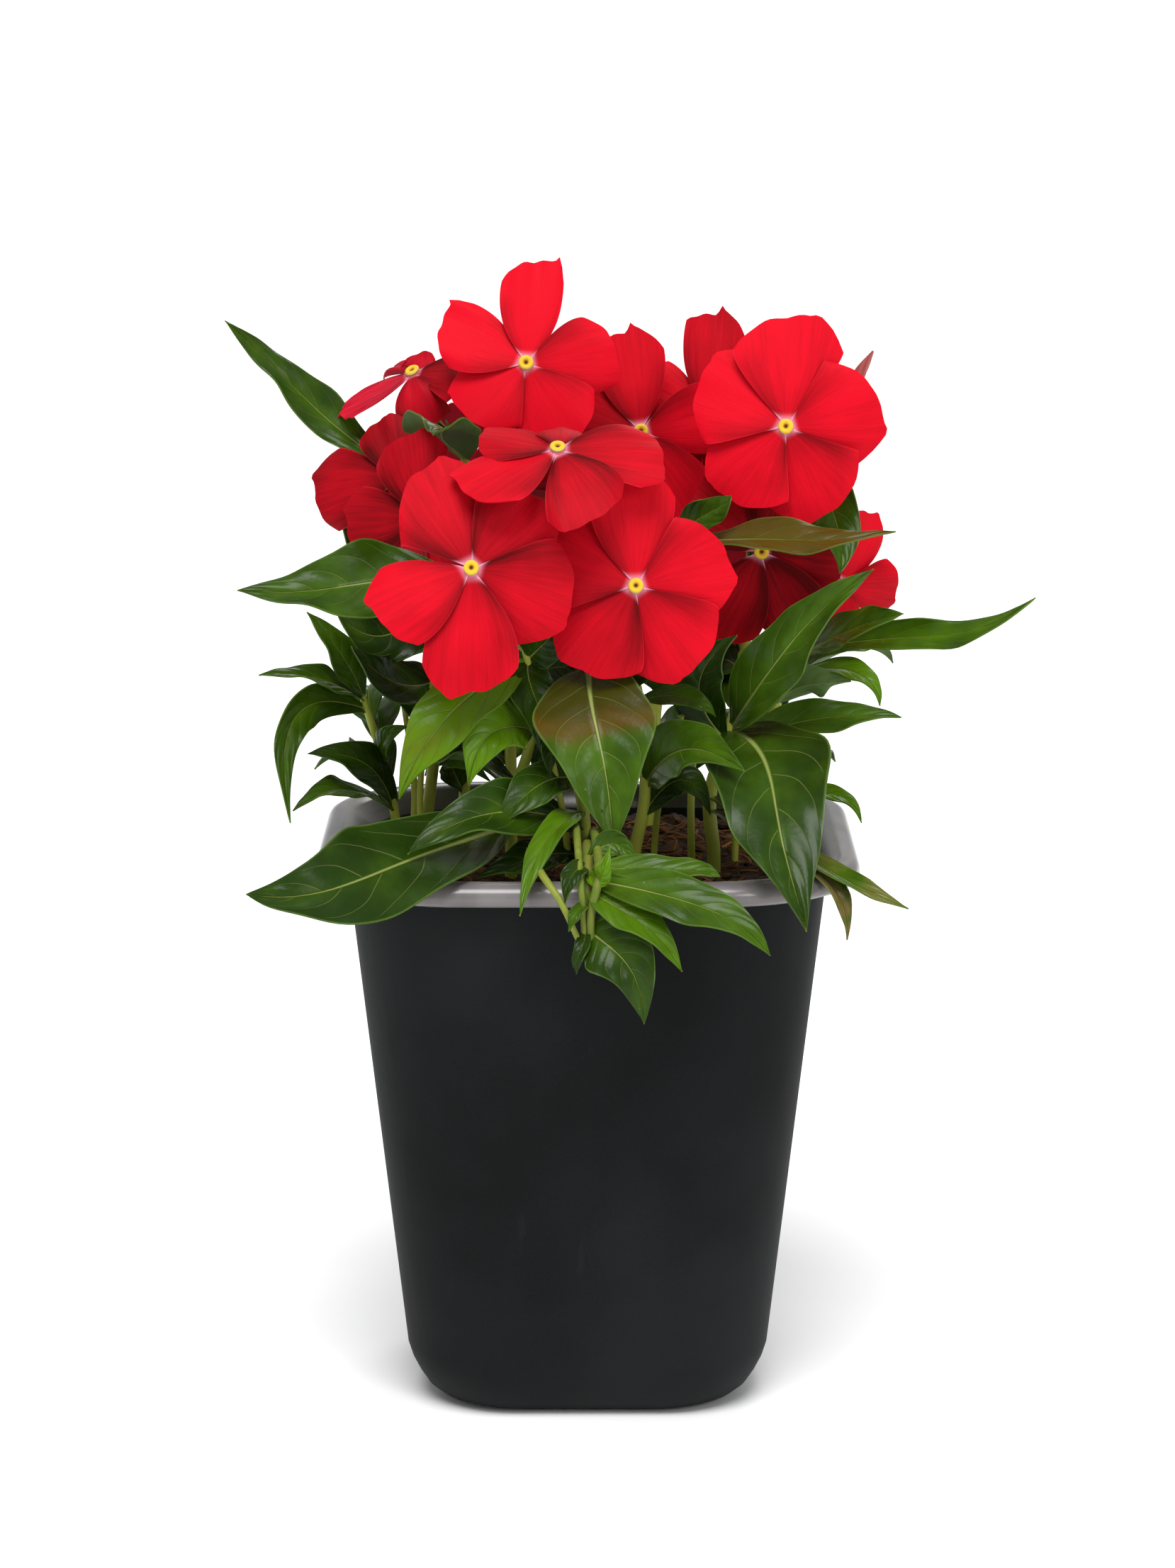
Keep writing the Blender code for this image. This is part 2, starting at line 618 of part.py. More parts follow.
def bloom_tube(name, flower, start, way):
    """The slender green tube, calyx and stalk from a stem out to a bloom or bud."""
    stem_name, height = flower["tube"]
    root = place_on(STEMS[stem_name], height)
    reach = (root - start).length
    bend = start - way * min(0.62 * reach, TUBE_STRAIGHT)
    middle = root.lerp(bend, 0.55) + (bend - start.lerp(root, 0.5)) * 0.15
    return tube(name, [root, middle, bend, start], TUBE_RADII, TUBE_SIDES, TUBE_STEPS)


def make_leafy_stem(name, materials):
    stem = STEMS[name]
    points = stem_points(stem)
    radii = [stem["radius"] * share for share in STEM_TAPER]
    pieces = [tube(name, points, radii, STEM_SIDES, len(points) + 3)]
    if "twig" in stem:
        pieces.append(tube(name + "_twig", stem["twig"], TWIG_RADII, TUBE_SIDES, len(stem["twig"]) + 2))
    rng = random.Random(name)
    for where, *shape in LEAVES[name]:
        pieces.append(make_leaf(name + "_leaf", place_on(stem, where), shape, rng.uniform(0, 2 * math.pi)))
    for height, direction, length, breadth in SIDE_LEAVES[name]:
        base = place_on(stem, height)
        via, tip, face = side_leaf(base, direction, length)
        shape = (via, tip, breadth, face, rng.uniform(0.8, 1.8))
        pieces.append(make_leaf(name + "_sideleaf", base, shape, rng.uniform(0, 2 * math.pi)))
    for flower_name, bloom in BLOOMS.items():
        if bloom["tube"][0] == name:
            way = Vector(bloom["faces"]).normalized()
            start = Vector(bloom["eye"]) - way * (NECK_TOP + NECK_LENGTH + GAP)
            pieces.append(bloom_tube(name + "_tube_" + flower_name, bloom, start, way))
    for bud_name, bud in BUDS.items():
        if bud["tube"][0] == name:
            way = (Vector(bud["tip"]) - Vector(bud["base"])).normalized()
            start = Vector(bud["base"]) - way * GAP
            pieces.append(bloom_tube(name + "_tube_" + bud_name, bud, start, way))
    fuse(name, pieces, materials["leaf"])


def bloom_axes(faces):
    """The way the bloom faces, and its own up and right as seen from before it."""
    normal = Vector(faces).normalized()
    up = Vector((0.0, 0.0, 1.0))
    up = (up - normal * up.dot(normal)).normalized()
    return normal, up, up.cross(normal)


def petal_list(bloom, rng):
    """Clock angle, length and breadth of each petal."""
    if "petals" in bloom:
        return bloom["petals"]
    petals = []
    for k in range(PETALS):
        angle = bloom["turn"] + 360 / PETALS * k + rng.uniform(-4, 4)
        length = bloom["breadth"] / 2 * rng.uniform(0.94, 1.04)
        petals.append((angle, length, bloom["petal"] * rng.uniform(0.94, 1.06)))
    return petals


def petal_surface(eye, axes, petal, corner, ripple, phase):
    """A petal's middle surface: u runs out from the neck and v across it, clockwise from before it.
    The petal is a wedge with a round shoulder on one side and a pointed corner on the other."""
    angle, length, breadth, *cut = petal
    shoulder_drop = cut[0] if cut else SHOULDER_DROP
    normal, up, right = axes
    turn = math.radians(angle)
    out = math.cos(turn) * up + math.sin(turn) * right
    sideways = -math.sin(turn) * up + math.cos(turn) * right
    reach = length - PETAL_ROOT

    def surface(u, v):
        shoulder = math.sqrt(max(1.0 - (v * breadth / 2 / length) ** 2, 0.2))
        shoulder += POINT_RISE * min(max(v, 0.0) / corner, 1.0)
        shoulder -= CORNER_DROP / (1.0 - corner) * max(v - corner, 0.0)
        shoulder -= shoulder_drop * corner * abs(min(v, 0.0)) ** 2.2
        r = PETAL_ROOT + reach * u * (1 + (shoulder - 1) * u)
        half = breadth / 2 * math.tanh(PETAL_WEDGE * (PETAL_ROOT + reach * max(u, 0.0)) * 2 / breadth)
        x = v * half
        z = -PETAL_DEPTH - PETAL_DROOP * u * u - PETAL_ROLL * x
        z += ripple * u * u * math.sin(3.2 * v + phase)
        return Vector(eye) + out * r + sideways * x + normal * z

    return surface


def make_bloom(name, bloom, seed, materials):
    eye = Vector(bloom["eye"])
    axes = bloom_axes(bloom["faces"])
    normal, up, right = axes
    rng = random.Random(seed)

    def ring(radius, height, sides):
        angles = [2 * math.pi * n / sides for n in range(sides)]
        return [eye + normal * height + radius * (math.cos(a) * up + math.sin(a) * right) for a in angles]

    low = -NECK_TOP - NECK_LENGTH
    neck = [ring(NECK_FOOT_RADIUS, low, NECK_SIDES), ring(NECK_RADIUS, low + NECK_FLARE, NECK_SIDES)]
    neck.append(ring(NECK_RADIUS, -NECK_TOP, NECK_SIDES))
    pieces = [loft(name, neck)]
    petals = petal_list(bloom, rng)
    longest = max(petal[1] for petal in petals)
    steps = PETAL_STEPS if longest >= BIG_PETAL and "petals" in bloom else SMALL_PETAL_STEPS
    corner = bloom.get("corner", PETAL_CORNER)
    lanes = (-1.0, -0.4, corner, 1.0)
    for petal in petals:
        ripple, phase = rng.uniform(0.4, 1.0), rng.uniform(0, 2 * math.pi)
        surface = petal_surface(eye, axes, petal, corner, ripple, phase)
        pieces.append(blade(name + "_petal", surface, steps, lanes, PETAL_THICKNESS))
    fuse(name, pieces, materials["petal"])

    seat = GAP - NECK_TOP
    rings = [ring(EYE_RADIUS, seat, EYE_SIDES), ring(0.7 * EYE_RADIUS, seat + EYE_HEIGHT, EYE_SIDES)]
    rings.append(ring(0.25 * EYE_RADIUS, seat + 0.4 * EYE_HEIGHT, EYE_SIDES))
    button = loft(name.replace("bloom", "eye"), rings)
    button.data.materials.append(materials["eye"])


def make_bud(name, bud, materials):
    base, tip = Vector(bud["base"]), Vector(bud["tip"])
    radii = [bud["radius"] * share for share in BUD_SHAPE]
    obj = tube(name, [base, base.lerp(tip, 0.5), tip], radii, EYE_SIDES, BUD_STEPS)
    obj.data.materials.append(materials["bud"])


def main():
    for obj in list(bpy.data.objects):
        bpy.data.objects.remove(obj)
    materials = make_materials()
    make_pot(materials["pot"])
    make_soil(materials["soil"])
    for name in STEMS:
        make_leafy_stem(name, materials)
    for seed, (name, bloom) in enumerate(BLOOMS.items()):
        make_bloom(name, bloom, seed, materials)
    for name, bud in BUDS.items():
        make_bud(name, bud, materials)


if __name__ == "__main__":
    main()
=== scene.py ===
import math
import random

import bpy
from mathutils import Euler, Matrix, Vector, noise


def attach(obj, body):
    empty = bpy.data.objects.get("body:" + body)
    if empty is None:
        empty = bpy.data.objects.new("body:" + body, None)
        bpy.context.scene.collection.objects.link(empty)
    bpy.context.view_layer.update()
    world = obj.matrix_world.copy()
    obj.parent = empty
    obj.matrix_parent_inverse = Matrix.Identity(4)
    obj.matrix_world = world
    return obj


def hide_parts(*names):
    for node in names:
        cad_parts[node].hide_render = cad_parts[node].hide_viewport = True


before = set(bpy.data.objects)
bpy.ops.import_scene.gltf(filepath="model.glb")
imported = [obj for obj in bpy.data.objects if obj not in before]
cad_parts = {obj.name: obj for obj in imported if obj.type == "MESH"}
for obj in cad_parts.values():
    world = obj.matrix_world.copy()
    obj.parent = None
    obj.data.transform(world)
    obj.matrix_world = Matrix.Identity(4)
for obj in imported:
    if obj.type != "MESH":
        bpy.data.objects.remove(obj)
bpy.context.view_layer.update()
mm = 0.001
print("packed model loaded:", len(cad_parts), "pieces")

# Each stem: the points that its middle passes through above the soil, its radius at the foot, and its
# twig, if it has one, as a list of points.
stems = {
    "left_outer": dict(path=[(-54, 8, 156), (-57, 5, 174), (-63, 0, 196)], radius=1.5),
    "left_a": dict(path=[(-46, 12, 156), (-43, 12, 180), (-40, 11, 205), (-43, 10, 230), (-48, 11, 248),
        (-54, 12, 258)], radius=1.7),
    "left_b": dict(path=[(-36, 18, 156), (-33, 18, 185), (-30, 18, 220), (-31, 16, 248), (-35, 13, 263)],
        radius=1.6),
    "front_left": dict(path=[(-21, -34, 156), (-20, -34, 174), (-15, -38, 193), (-16, -38, 212),
        (-20, -35, 227)], radius=1.7, twig=[(-17, -37, 216), (-26, -34, 224), (-34, -32, 231)]),
    "front_centre": dict(path=[(-1, -46, 156), (-1, -46, 172), (-4, -42, 190), (0, -40, 210),
        (4, -36, 227)], radius=1.8, twig=[(-1, -46, 158), (0, -60, 166), (0, -76, 165), (0, -83, 157),
        (0, -84, 144)]),
    "centre": dict(path=[(13, -25, 156), (16, -27, 175), (14, -22, 200), (6, -16, 225), (0, -14, 241)],
        radius=1.8, twig=[(3, -15, 233), (14, -18, 240), (26, -24, 243)]),
    "right": dict(path=[(35, -22, 156), (34, -22, 173), (40, -24, 193), (44, -4, 212), (46, 5, 236),
        (50, 5, 256), (55, 0, 268)], radius=1.9),
    "right_back": dict(path=[(48, 14, 156), (50, 16, 177), (56, 18, 200), (60, 20, 222), (62, 20, 246)],
        radius=1.8),
    "back_left": dict(path=[(-22, 40, 156), (-22, 42, 185), (-18, 40, 222), (-16, 30, 250), (-16, 25, 262)],
        radius=1.8),
    "back_right": dict(path=[(18, 42, 156), (20, 44, 185), (24, 42, 220), (22, 40, 247)], radius=1.8),
}

# Leaves at the front, by stem. Each grows from a height on the stem, from "end", which is the stem's
# end, or from a place on the twig given as ("twig", share). Then come the point half way along it, its
# tip, its breadth, the way its upper face looks, how far its edges wave, and its kind in leafTones.
leaves = {
    "left_outer": [
        ("end", (-69, -4, 209), (-78, -6, 221), 11, (0.6, -0.7, 0.3), 0.8, "mid"),
        (195, (-76, -9, 203), (-91, -16, 205), 9, (0, -0.5, 0.85), 1, "mid"),
        (192, (-81, -16, 193), (-82, -26, 165), 11, (0.6, -0.8, 0.1), 1, "mid"),
        (162, (-64, -6, 179), (-78, -12, 182), 11, (0.3, -0.8, 0.5), 1, "dark"),
        (162, (-70, -8, 171), (-82, -18, 167), 10, (0, -0.4, 0.9), 1, "mid"),
        (176, (-57, -4, 184), (-50, -8, 189), 7, (-0.6, -0.6, 0), 0.6, "mid"),
    ],
    "left_a": [
        ("end", (-82, 21, 280), (-101, 14, 300), 12, (0.5, -0.8, 0.3), 2.2, "mid"),
        (200, (-53, -12, 202), (-65, -22, 214), 16, (0.2, -0.8, 0.6), 1.2, "dark"),
        (218, (-59, 12, 231), (-69, 10, 246), 11, (0.1, -0.9, 0.3), 0.8, "mid"),
    ],
    "left_b": [
        (261, (-40, -9, 272), (-42, -26, 273), 22, (0, -0.25, 1), 2.6, "mid"),
    ],
    "front_left": [
        (166, (-58, -82, 162), (-90, -90, 159), 28, (-0.15, -0.85, 0.5), 2.6, "dark"),
        (193, (-25, -49, 195), (-32, -54, 181), 16, (0.2, -0.8, 0.6), 1.4, "bright"),
        (212, (-38, -50, 199), (-51, -52, 177), 18, (-0.3, -0.9, 0.4), 1.4, "pale"),
        (("twig", 1), (-64, -36, 233), (-95, -38, 232), 22, (0.1, -0.75, 0.65), 2.6, "mid"),
        (206, (-6, -29, 209), (6, -26, 198), 14, (0, -0.9, 0.4), 1, "dark"),
        (200, (-29, -28, 207), (-39, -24, 198), 13, (-0.2, -0.9, 0.4), 1, "dark"),
    ],
    "front_centre": [
        (168, (-26, -62, 175), (-48, -72, 166), 17, (0, -0.7, 0.7), 1.5, "dark"),
        (181, (-14, -56, 181), (-25, -61, 170), 13, (-0.2, -0.8, 0.5), 1, "dark"),
        (211, (3, -59, 195), (7, -68, 167), 31, (0, -1, 0.15), 1.2, "bronze"),
        (172, (-10, -68, 170), (-18, -85, 152), 9, (-0.3, -0.8, 0.5), 0.8, "light"),
        (192, (-9, -50, 191), (-10, -52, 183), 7, (0, -1, 0.1), 0.4, "dark"),
        (("twig", 0.72), (13, -90, 152), (25, -94, 139), 12, (0.5, -0.8, 0.5), 1, "light"),
        (("twig", 0.93), (9, -91, 142), (15, -91, 124), 17, (0.1, -1, 0.2), 1.2, "dark"),
        (("twig", 0.55), (23, -83, 164), (35, -86, 163), 9, (0, -0.6, 0.8), 1, "fresh"),
        (("twig", 0.65), (30, -92, 156), (48, -97, 144), 14, (0.3, -0.8, 0.6), 1.2, "mid"),
        (196, (8, -34, 205), (22, -34, 209), 12, (0.1, -0.9, 0.4), 1, "dark"),
    ],
    "centre": [
        (176, (27, -48, 190), (42, -64, 187), 17, (0, -0.9, 0.5), 1.5, "fresh"),
        (199, (27, -36, 202), (35, -38, 197), 7, (0, -0.8, 0.6), 0.6, "mid"),
        (167, (26, -30, 178), (34, -30, 168), 11, (0, -0.7, 0.7), 0.8, "dark"),
        (("twig", 1), (55, -40, 246), (83, -44, 249), 13, (0, -0.5, 0.85), 1.6, "olive"),
        (("twig", 0.85), (33, -30, 252), (39, -32, 257), 9, (0.4, -0.7, 0.6), 0.8, "mid"),
        (238, (-3, -38, 258), (6, -51, 261), 7, (-0.3, -0.5, 0.8), 0.6, "mid"),
    ],
    "right": [
        (191, (50, -60, 180), (58, -86, 148), 33, (0.1, -0.9, 0.45), 2.4, "dark"),
        (186, (66, -28, 195), (86, -32, 196), 12, (0, -0.6, 0.8), 1.2, "mid"),
        (191, (54, -44, 217), (77, -46, 239), 18, (-0.3, -0.8, 0.5), 2.4, "mid"),
        (172, (66, -62, 159), (86, -71, 151), 7, (0, -0.5, 0.9), 1, "tired"),
        (266, (68, -17, 249), (69, -27, 235), 15, (0.1, -1, 0.1), 1, "mid"),
        (188, (31, -28, 206), (41, -28, 218), 14, (-0.3, -0.9, 0.3), 1, "dark"),
    ],
    "right_back": [
        (199, (75, 0, 203), (82, -4, 194), 9, (0.2, -0.5, 0.8), 0.8, "bright"),
        (203, (72, -20, 218), (86, -34, 225), 14, (0, -0.8, 0.6), 1.2, "mid"),
        (206, (95, -5, 214), (124, -12, 226), 9, (0, -0.8, 0.6), 2.2, "mid"),
        (191, (62, 3, 199), (74, 3, 200), 13, (0, 0.85, 0.5), 1, "light"),
        (161, (69, 1, 168), (77, -6, 161), 6, (0, -0.5, 0.9), 0.6, "bright"),
    ],
}

# Leaves at the back and sides: height on the stem, compass direction in degrees from +X towards +Y,
# length and breadth.
sideLeaves = {
    "left_outer": [(182, 95, 40, 13), (170, 110, 36, 12)],
    "left_b": [(186, 120, 38, 15)],
    "front_left": [(178, 175, 34, 12)],
    "centre": [(190, 150, 34, 12)],
    "right": [(178, 50, 32, 12)],
    "right_back": [(182, 95, 44, 18), (222, 38, 30, 14)],
    "back_left": [(168, 130, 48, 19), (170, 60, 46, 18), (178, 100, 48, 19), (194, 172, 40, 16)],
    "back_right": [(170, 50, 48, 19), (172, 115, 44, 17), (190, 80, 48, 19), (196, 45, 38, 15)],
}

# Blooms: the eye's place, the way the bloom faces, and the stem and height that its tube grows from.
# Blooms at the front list each petal's clock angle, length and breadth as seen from before the bloom.
# A fourth value says how far that petal's round shoulder is cut, if not by petalLook's "shoulder". The
# others give the bloom's breadth, its first petal's clock angle and the petals' breadth. A corner says
# where the petals' points lie, if not at petalLook's.
blooms = {
    "bloom_01": dict(eye=(-17, -2, 290), faces=(0, -1, 0.3), tube=("back_left", 262), corner=0.8,
        petals=[(4, 29, 18), (80, 25, 23), (148, 25, 22), (226, 22, 21), (294, 26, 21)]),
    "bloom_02": dict(eye=(54, -25, 275), faces=(-0.12, -1, 0.2), tube=("right", 267), corner=0.55,
        petals=[(359, 30, 35), (73, 26, 38), (151, 26, 37), (219, 25, 35), (297, 27, 36)]),
    "bloom_03": dict(eye=(-31, -58, 241), faces=(0, -1, 0.3), tube=("front_left", 226),
        petals=[(42, 26, 31), (108, 28, 36), (180, 33, 28), (242, 28, 26), (333, 30, 33, 0.9)]),
    "bloom_04": dict(eye=(13, -50, 235), faces=(0, -1, 0.2), tube=("front_centre", 226),
        petals=[(357, 30, 25), (72, 26, 37), (143, 27, 36), (213, 27, 34), (293, 26, 36)]),
    "bloom_05": dict(eye=(-8, -47, 272), faces=(0, -0.55, 0.83), tube=("centre", 240), corner=0.85,
        petals=[(2, 14, 19), (88, 28, 23), (154, 26, 26), (236, 28, 26), (288, 22, 18)]),
    "bloom_06": dict(eye=(15, 15, 269), faces=(0.1, -1, 0.15), tube=("back_right", 238), corner=0.2,
        petals=[(352, 28, 22), (78, 24, 22), (150, 29, 24), (222, 26, 22), (292, 25, 22)]),
    "bloom_07": dict(eye=(34, 28, 273), faces=(0, -1, 0.2), tube=("back_right", 246), corner=0.2,
        petals=[(5, 28, 18), (77, 20, 20), (149, 20, 20), (221, 22, 20), (293, 21, 20)]),
    "bloom_08": dict(eye=(-49, 14, 286), faces=(-0.35, -0.45, 0.82), tube=("left_b", 262),
        petals=[(350, 9, 17), (78, 18, 20), (150, 15, 19), (228, 24, 12), (300, 15, 14)]),
    "bloom_09": dict(eye=(-53, 0, 258), faces=(-0.3, -0.9, 0.3), tube=("left_a", 238),
        petals=[(334, 18, 17), (50, 11, 12), (118, 11, 12), (185, 13, 15), (259, 27, 27)]),
    "bloom_10": dict(eye=(-46, -19, 249), faces=(-0.4, -0.9, 0.1), tube=("left_a", 222),
        petals=[(343, 23, 24), (75, 20, 24), (150, 20, 20), (205, 19, 18), (262, 24, 22)]),
    "bloom_11": dict(eye=(48, -14, 239), faces=(0, -1, -0.05), tube=("right", 220),
        petals=[(18, 17, 18), (96, 22, 26), (152, 25, 22), (206, 28, 22), (310, 24, 24)]),
    "bloom_12": dict(eye=(72, 8, 226), faces=(0.45, -0.89, 0), tube=("right_back", 206),
        petals=[(25, 22, 18), (97, 19, 19), (172, 12, 12), (241, 13, 14), (313, 22, 18)]),
    "bloom_13": dict(eye=(-20, 1, 255), faces=(0, -0.9, 0.4), tube=("left_b", 232), breadth=34, turn=-8,
        petal=15),
    "bloom_14": dict(eye=(-38, 48, 252), faces=(-0.5, 0.8, 0.35), tube=("back_left", 226), breadth=50,
        turn=10, petal=22),
    "bloom_15": dict(eye=(2, 62, 258), faces=(0.05, 0.9, 0.4), tube=("back_right", 226), breadth=52,
        turn=30, petal=23),
    "bloom_16": dict(eye=(50, 52, 242), faces=(0.5, 0.8, 0.3), tube=("back_right", 212), breadth=50, turn=0,
        petal=22),
    "bloom_17": dict(eye=(-1, 67, 220), faces=(-0.1, 1, 0.1), tube=("back_left", 198), breadth=50, turn=-15,
        petal=22),
    "bloom_18": dict(eye=(-50, 36, 228), faces=(-0.8, 0.6, 0.2), tube=("left_a", 198), breadth=46, turn=20,
        petal=20),
}

# Buds: the base, the tip, the greatest radius, and the stem and height that the bud grows from.
buds = {
    "bud_right": dict(base=(71, 6, 278), tip=(79, 0, 293), radius=2.0, tube=("right_back", 245)),
    "bud_back": dict(base=(8, 46, 272), tip=(10, 46, 287), radius=1.9, tube=("back_right", 245)),
}


def pickOnly(*objs):
    bpy.ops.object.select_all(action="DESELECT")
    for obj in objs:
        obj.select_set(True)
    bpy.context.view_layer.objects.active = objs[0]


def added(primitive, **settings):
    # a new primitive, with all else deselected
    bpy.ops.object.select_all(action="DESELECT")
    primitive(**settings)
    return bpy.context.object


def linked(name, data):
    obj = bpy.data.objects.new(name, data)
    bpy.context.scene.collection.objects.link(obj)
    return obj


def joined(objs, name):
    pickOnly(*objs)
    bpy.ops.object.join()
    objs[0].name = name
    return objs[0]


def modified(obj, kind, **settings):
    modifier = obj.modifiers.new(kind.lower(), kind)
    for key, value in settings.items():
        setattr(modifier, key, value)
    pickOnly(obj)
    bpy.ops.object.modifier_apply(modifier=modifier.name)


def smoothed(piece, angle):
    # edges stay sharp past this angle, in degrees
    pickOnly(piece)
    bpy.ops.object.shade_smooth_by_angle(angle=math.radians(angle))


def editAll():
    bpy.ops.object.mode_set(mode="EDIT")
    bpy.ops.mesh.select_all(action="SELECT")


def turnOutwards():
    bpy.ops.mesh.select_all(action="SELECT")
    bpy.ops.mesh.normals_make_consistent(inside=False)


def resizeAll(share):
    # about the middle of the piece, with its height kept
    bpy.ops.transform.resize(value=(share, share, 1.0), center_override=(0, 0, 0))


def stackRings(rings):
    # the selected face has the first ring's half-width and height, and is extruded to each next one
    for (was, low), (half, high) in zip(rings, rings[1:]):
        bpy.ops.mesh.extrude_region_move(TRANSFORM_OT_translate={"value": (0, 0, (high - low) * mm)})
        resizeAll(half / was)


def through(points, t):
    # a smooth curve's place at t, from 0 at its first point to 1 at its last
    spans = len(points) - 1
    place = min(max(t, 0.0), 1.0) * spans
    i = min(int(place), spans - 1)
    s = place - i
    p1, p2 = Vector(points[i]), Vector(points[i + 1])
    p0 = Vector(points[i - 1]) if i > 0 else 2 * p1 - p2
    p3 = Vector(points[i + 2]) if i + 2 <= spans else 2 * p2 - p1
    cubic = (3 * p1 - p0 - 3 * p2 + p3) * s**3
    return 0.5 * (2 * p1 + (p2 - p0) * s + (2 * p0 - 5 * p1 + 4 * p2 - p3) * s * s + cubic)


def between(values, t):
    # a value of an evenly spaced row, at t from 0 to 1
    place = min(max(t, 0.0), 1.0) * (len(values) - 1)
    i = min(int(place), len(values) - 2)
    return values[i] + (values[i + 1] - values[i]) * (place - i)


def roundBar(name, points, radii, finish, steps, tone, sides=3):
    # a curve object with a round bevel, turned into a mesh; tone(t) colours it from foot to tip
    route = bpy.data.curves.new(name, "CURVE")
    route.dimensions = "3D"
    route.bevel_depth = 1.0
    route.bevel_resolution = sides
    route.use_fill_caps = True
    line = route.splines.new("POLY")
    line.points.add(steps)
    for k, point in enumerate(line.points):
        t = k / steps
        point.co = (*(through(points, t) * mm), 1.0)
        point.radius = between(radii, t) * mm
    pickOnly(linked(name, route))
    bpy.ops.object.convert(target="MESH")
    bar = bpy.context.view_layer.objects.active
    bar.data.materials.append(finish)
    first, last = Vector(points[0]) * mm, Vector(points[-1]) * mm
    span = last - first
    tones = []
    for corner in bar.data.vertices:
        t = (corner.co - first).dot(span) / span.length_squared
        tones.extend(tone(min(max(t, 0.0), 1.0)))
    paint(bar.data, tones)
    return bar


def paint(mesh, tones):
    layer = mesh.attributes.get("tone") or mesh.attributes.new("tone", "FLOAT_COLOR", "POINT")
    layer.data.foreach_set("color", tones)


def shapedCopy(blank, name, surface, tone):
    # a flat blank's copy, laid on a surface: u from 0 to 1 along it, v from -1 to 1 across it
    mesh = blank.data.copy()
    places, tones = [], []
    for corner in mesh.vertices:
        u, v = corner.co.x + 0.5, -2.0 * corner.co.y
        places.extend(surface(u, v) * mm)
        tones.extend(tone(u, v))
    mesh.vertices.foreach_set("co", places)
    paint(mesh, tones)
    mesh.update()
    return linked(name, mesh)


def flatBlank(name, along, across, finishes):
    # its lower side takes the second finish, once the piece has its thickness
    blank = added(bpy.ops.mesh.primitive_grid_add, x_subdivisions=along, y_subdivisions=across, size=1.0)
    blank.name = name
    blank.data.uv_layers[0].name = "blade"
    for finish in finishes:
        blank.data.materials.append(finish)
    return blank


def connect(tree, slot, value):
    if isinstance(value, Wire):
        tree.links.new(value.socket, slot)
    else:
        slot.default_value = value


def addNode(tree, kind, settings, sockets, output=0):
    node = tree.nodes.new("ShaderNode" + kind)
    for key, value in settings.items():
        setattr(node, key, value)
    for key, value in sockets.items():
        connect(tree, node.inputs[key], value)
    return Wire(tree, node.outputs[output])


def maths(operation, *terms):
    # one Math node, whose terms are wires or numbers
    tree = next(term.tree for term in terms if isinstance(term, Wire))
    return addNode(tree, "Math", {"operation": operation}, dict(enumerate(terms)))


class Wire:
    # one socket of a finish, so that sums are written as sums
    def __init__(self, tree, socket):
        self.tree = tree
        self.socket = socket

    def outputs(self, *keys):
        # wires from the named outputs of this wire's node, or from all of them
        node = self.socket.node
        return [Wire(self.tree, out) for out in node.outputs if not keys or out.name in keys]

    def __add__(self, other):
        return maths("ADD", self, other)

    def __radd__(self, other):
        return maths("ADD", other, self)

    def __sub__(self, other):
        return maths("SUBTRACT", self, other)

    def __rsub__(self, other):
        return maths("SUBTRACT", other, self)

    def __mul__(self, other):
        return maths("MULTIPLY", self, other)

    def __rmul__(self, other):
        return maths("MULTIPLY", other, self)

    def __pow__(self, other):
        return maths("POWER", self, other)

    def __abs__(self):
        return maths("ABSOLUTE", self)


class Finish:
    def __init__(self, name, **constants):
        self.material = bpy.data.materials.new(name)
        self.material.use_nodes = True
        self.tree = self.material.node_tree
        self.shader = self.tree.nodes["Principled BSDF"]
        self.set(**constants)

    def set(self, **sockets):
        for key, value in sockets.items():
            connect(self.tree, self.shader.inputs[key.replace("_", " ")], value)

    def add(self, kind, settings, sockets, output=0):
        return addNode(self.tree, kind, settings, sockets, output)

    def split(self, vector):
        return self.add("SeparateXYZ", {}, {0: vector}).outputs()

    def bladePlace(self):
        # where on the blade: along it and across it, each from 0 to 1
        return self.split(self.add("UVMap", {"uv_map": "blade"}, {}))[:2]

    def tones(self):
        # the piece's own four shares, which paint has put on its mesh
        tone = self.add("Attribute", {"attribute_name": "tone"}, {}, "Color")
        return self.add("SeparateColor", {}, {0: tone}).outputs() + tone.outputs("Alpha")

    def grain(self, size, detail=2.0, vector=None, stretch=(1, 1, 1)):
        if vector is None:
            vector = self.add("TexCoord", {}, {}, "Object")
        vector = self.add("Mapping", {}, {"Vector": vector, "Scale": stretch})
        return self.add("TexNoise", {}, {"Vector": vector, "Scale": size, "Detail": detail}, "Fac")

    def fade(self, value, low, high):
        # from 0 where the value is low to 1 where it is high
        sockets = {"Value": value, "From Min": low, "From Max": high}
        return self.add("MapRange", {"interpolation_type": "SMOOTHSTEP"}, sockets)

    def limited(self, value):
        return self.add("Clamp", {}, {"Value": value})

    def mix(self, factor, first, second):
        colours = [c if isinstance(c, Wire) else (*c, 1.0) for c in (first, second)]
        return self.add("Mix", {"data_type": "RGBA"}, {0: factor, 6: colours[0], 7: colours[1]}, 2)

    def bump(self, height, strength, distance):
        self.set(Normal=self.add("Bump", {}, {"Height": height, "Strength": strength, "Distance": distance}))


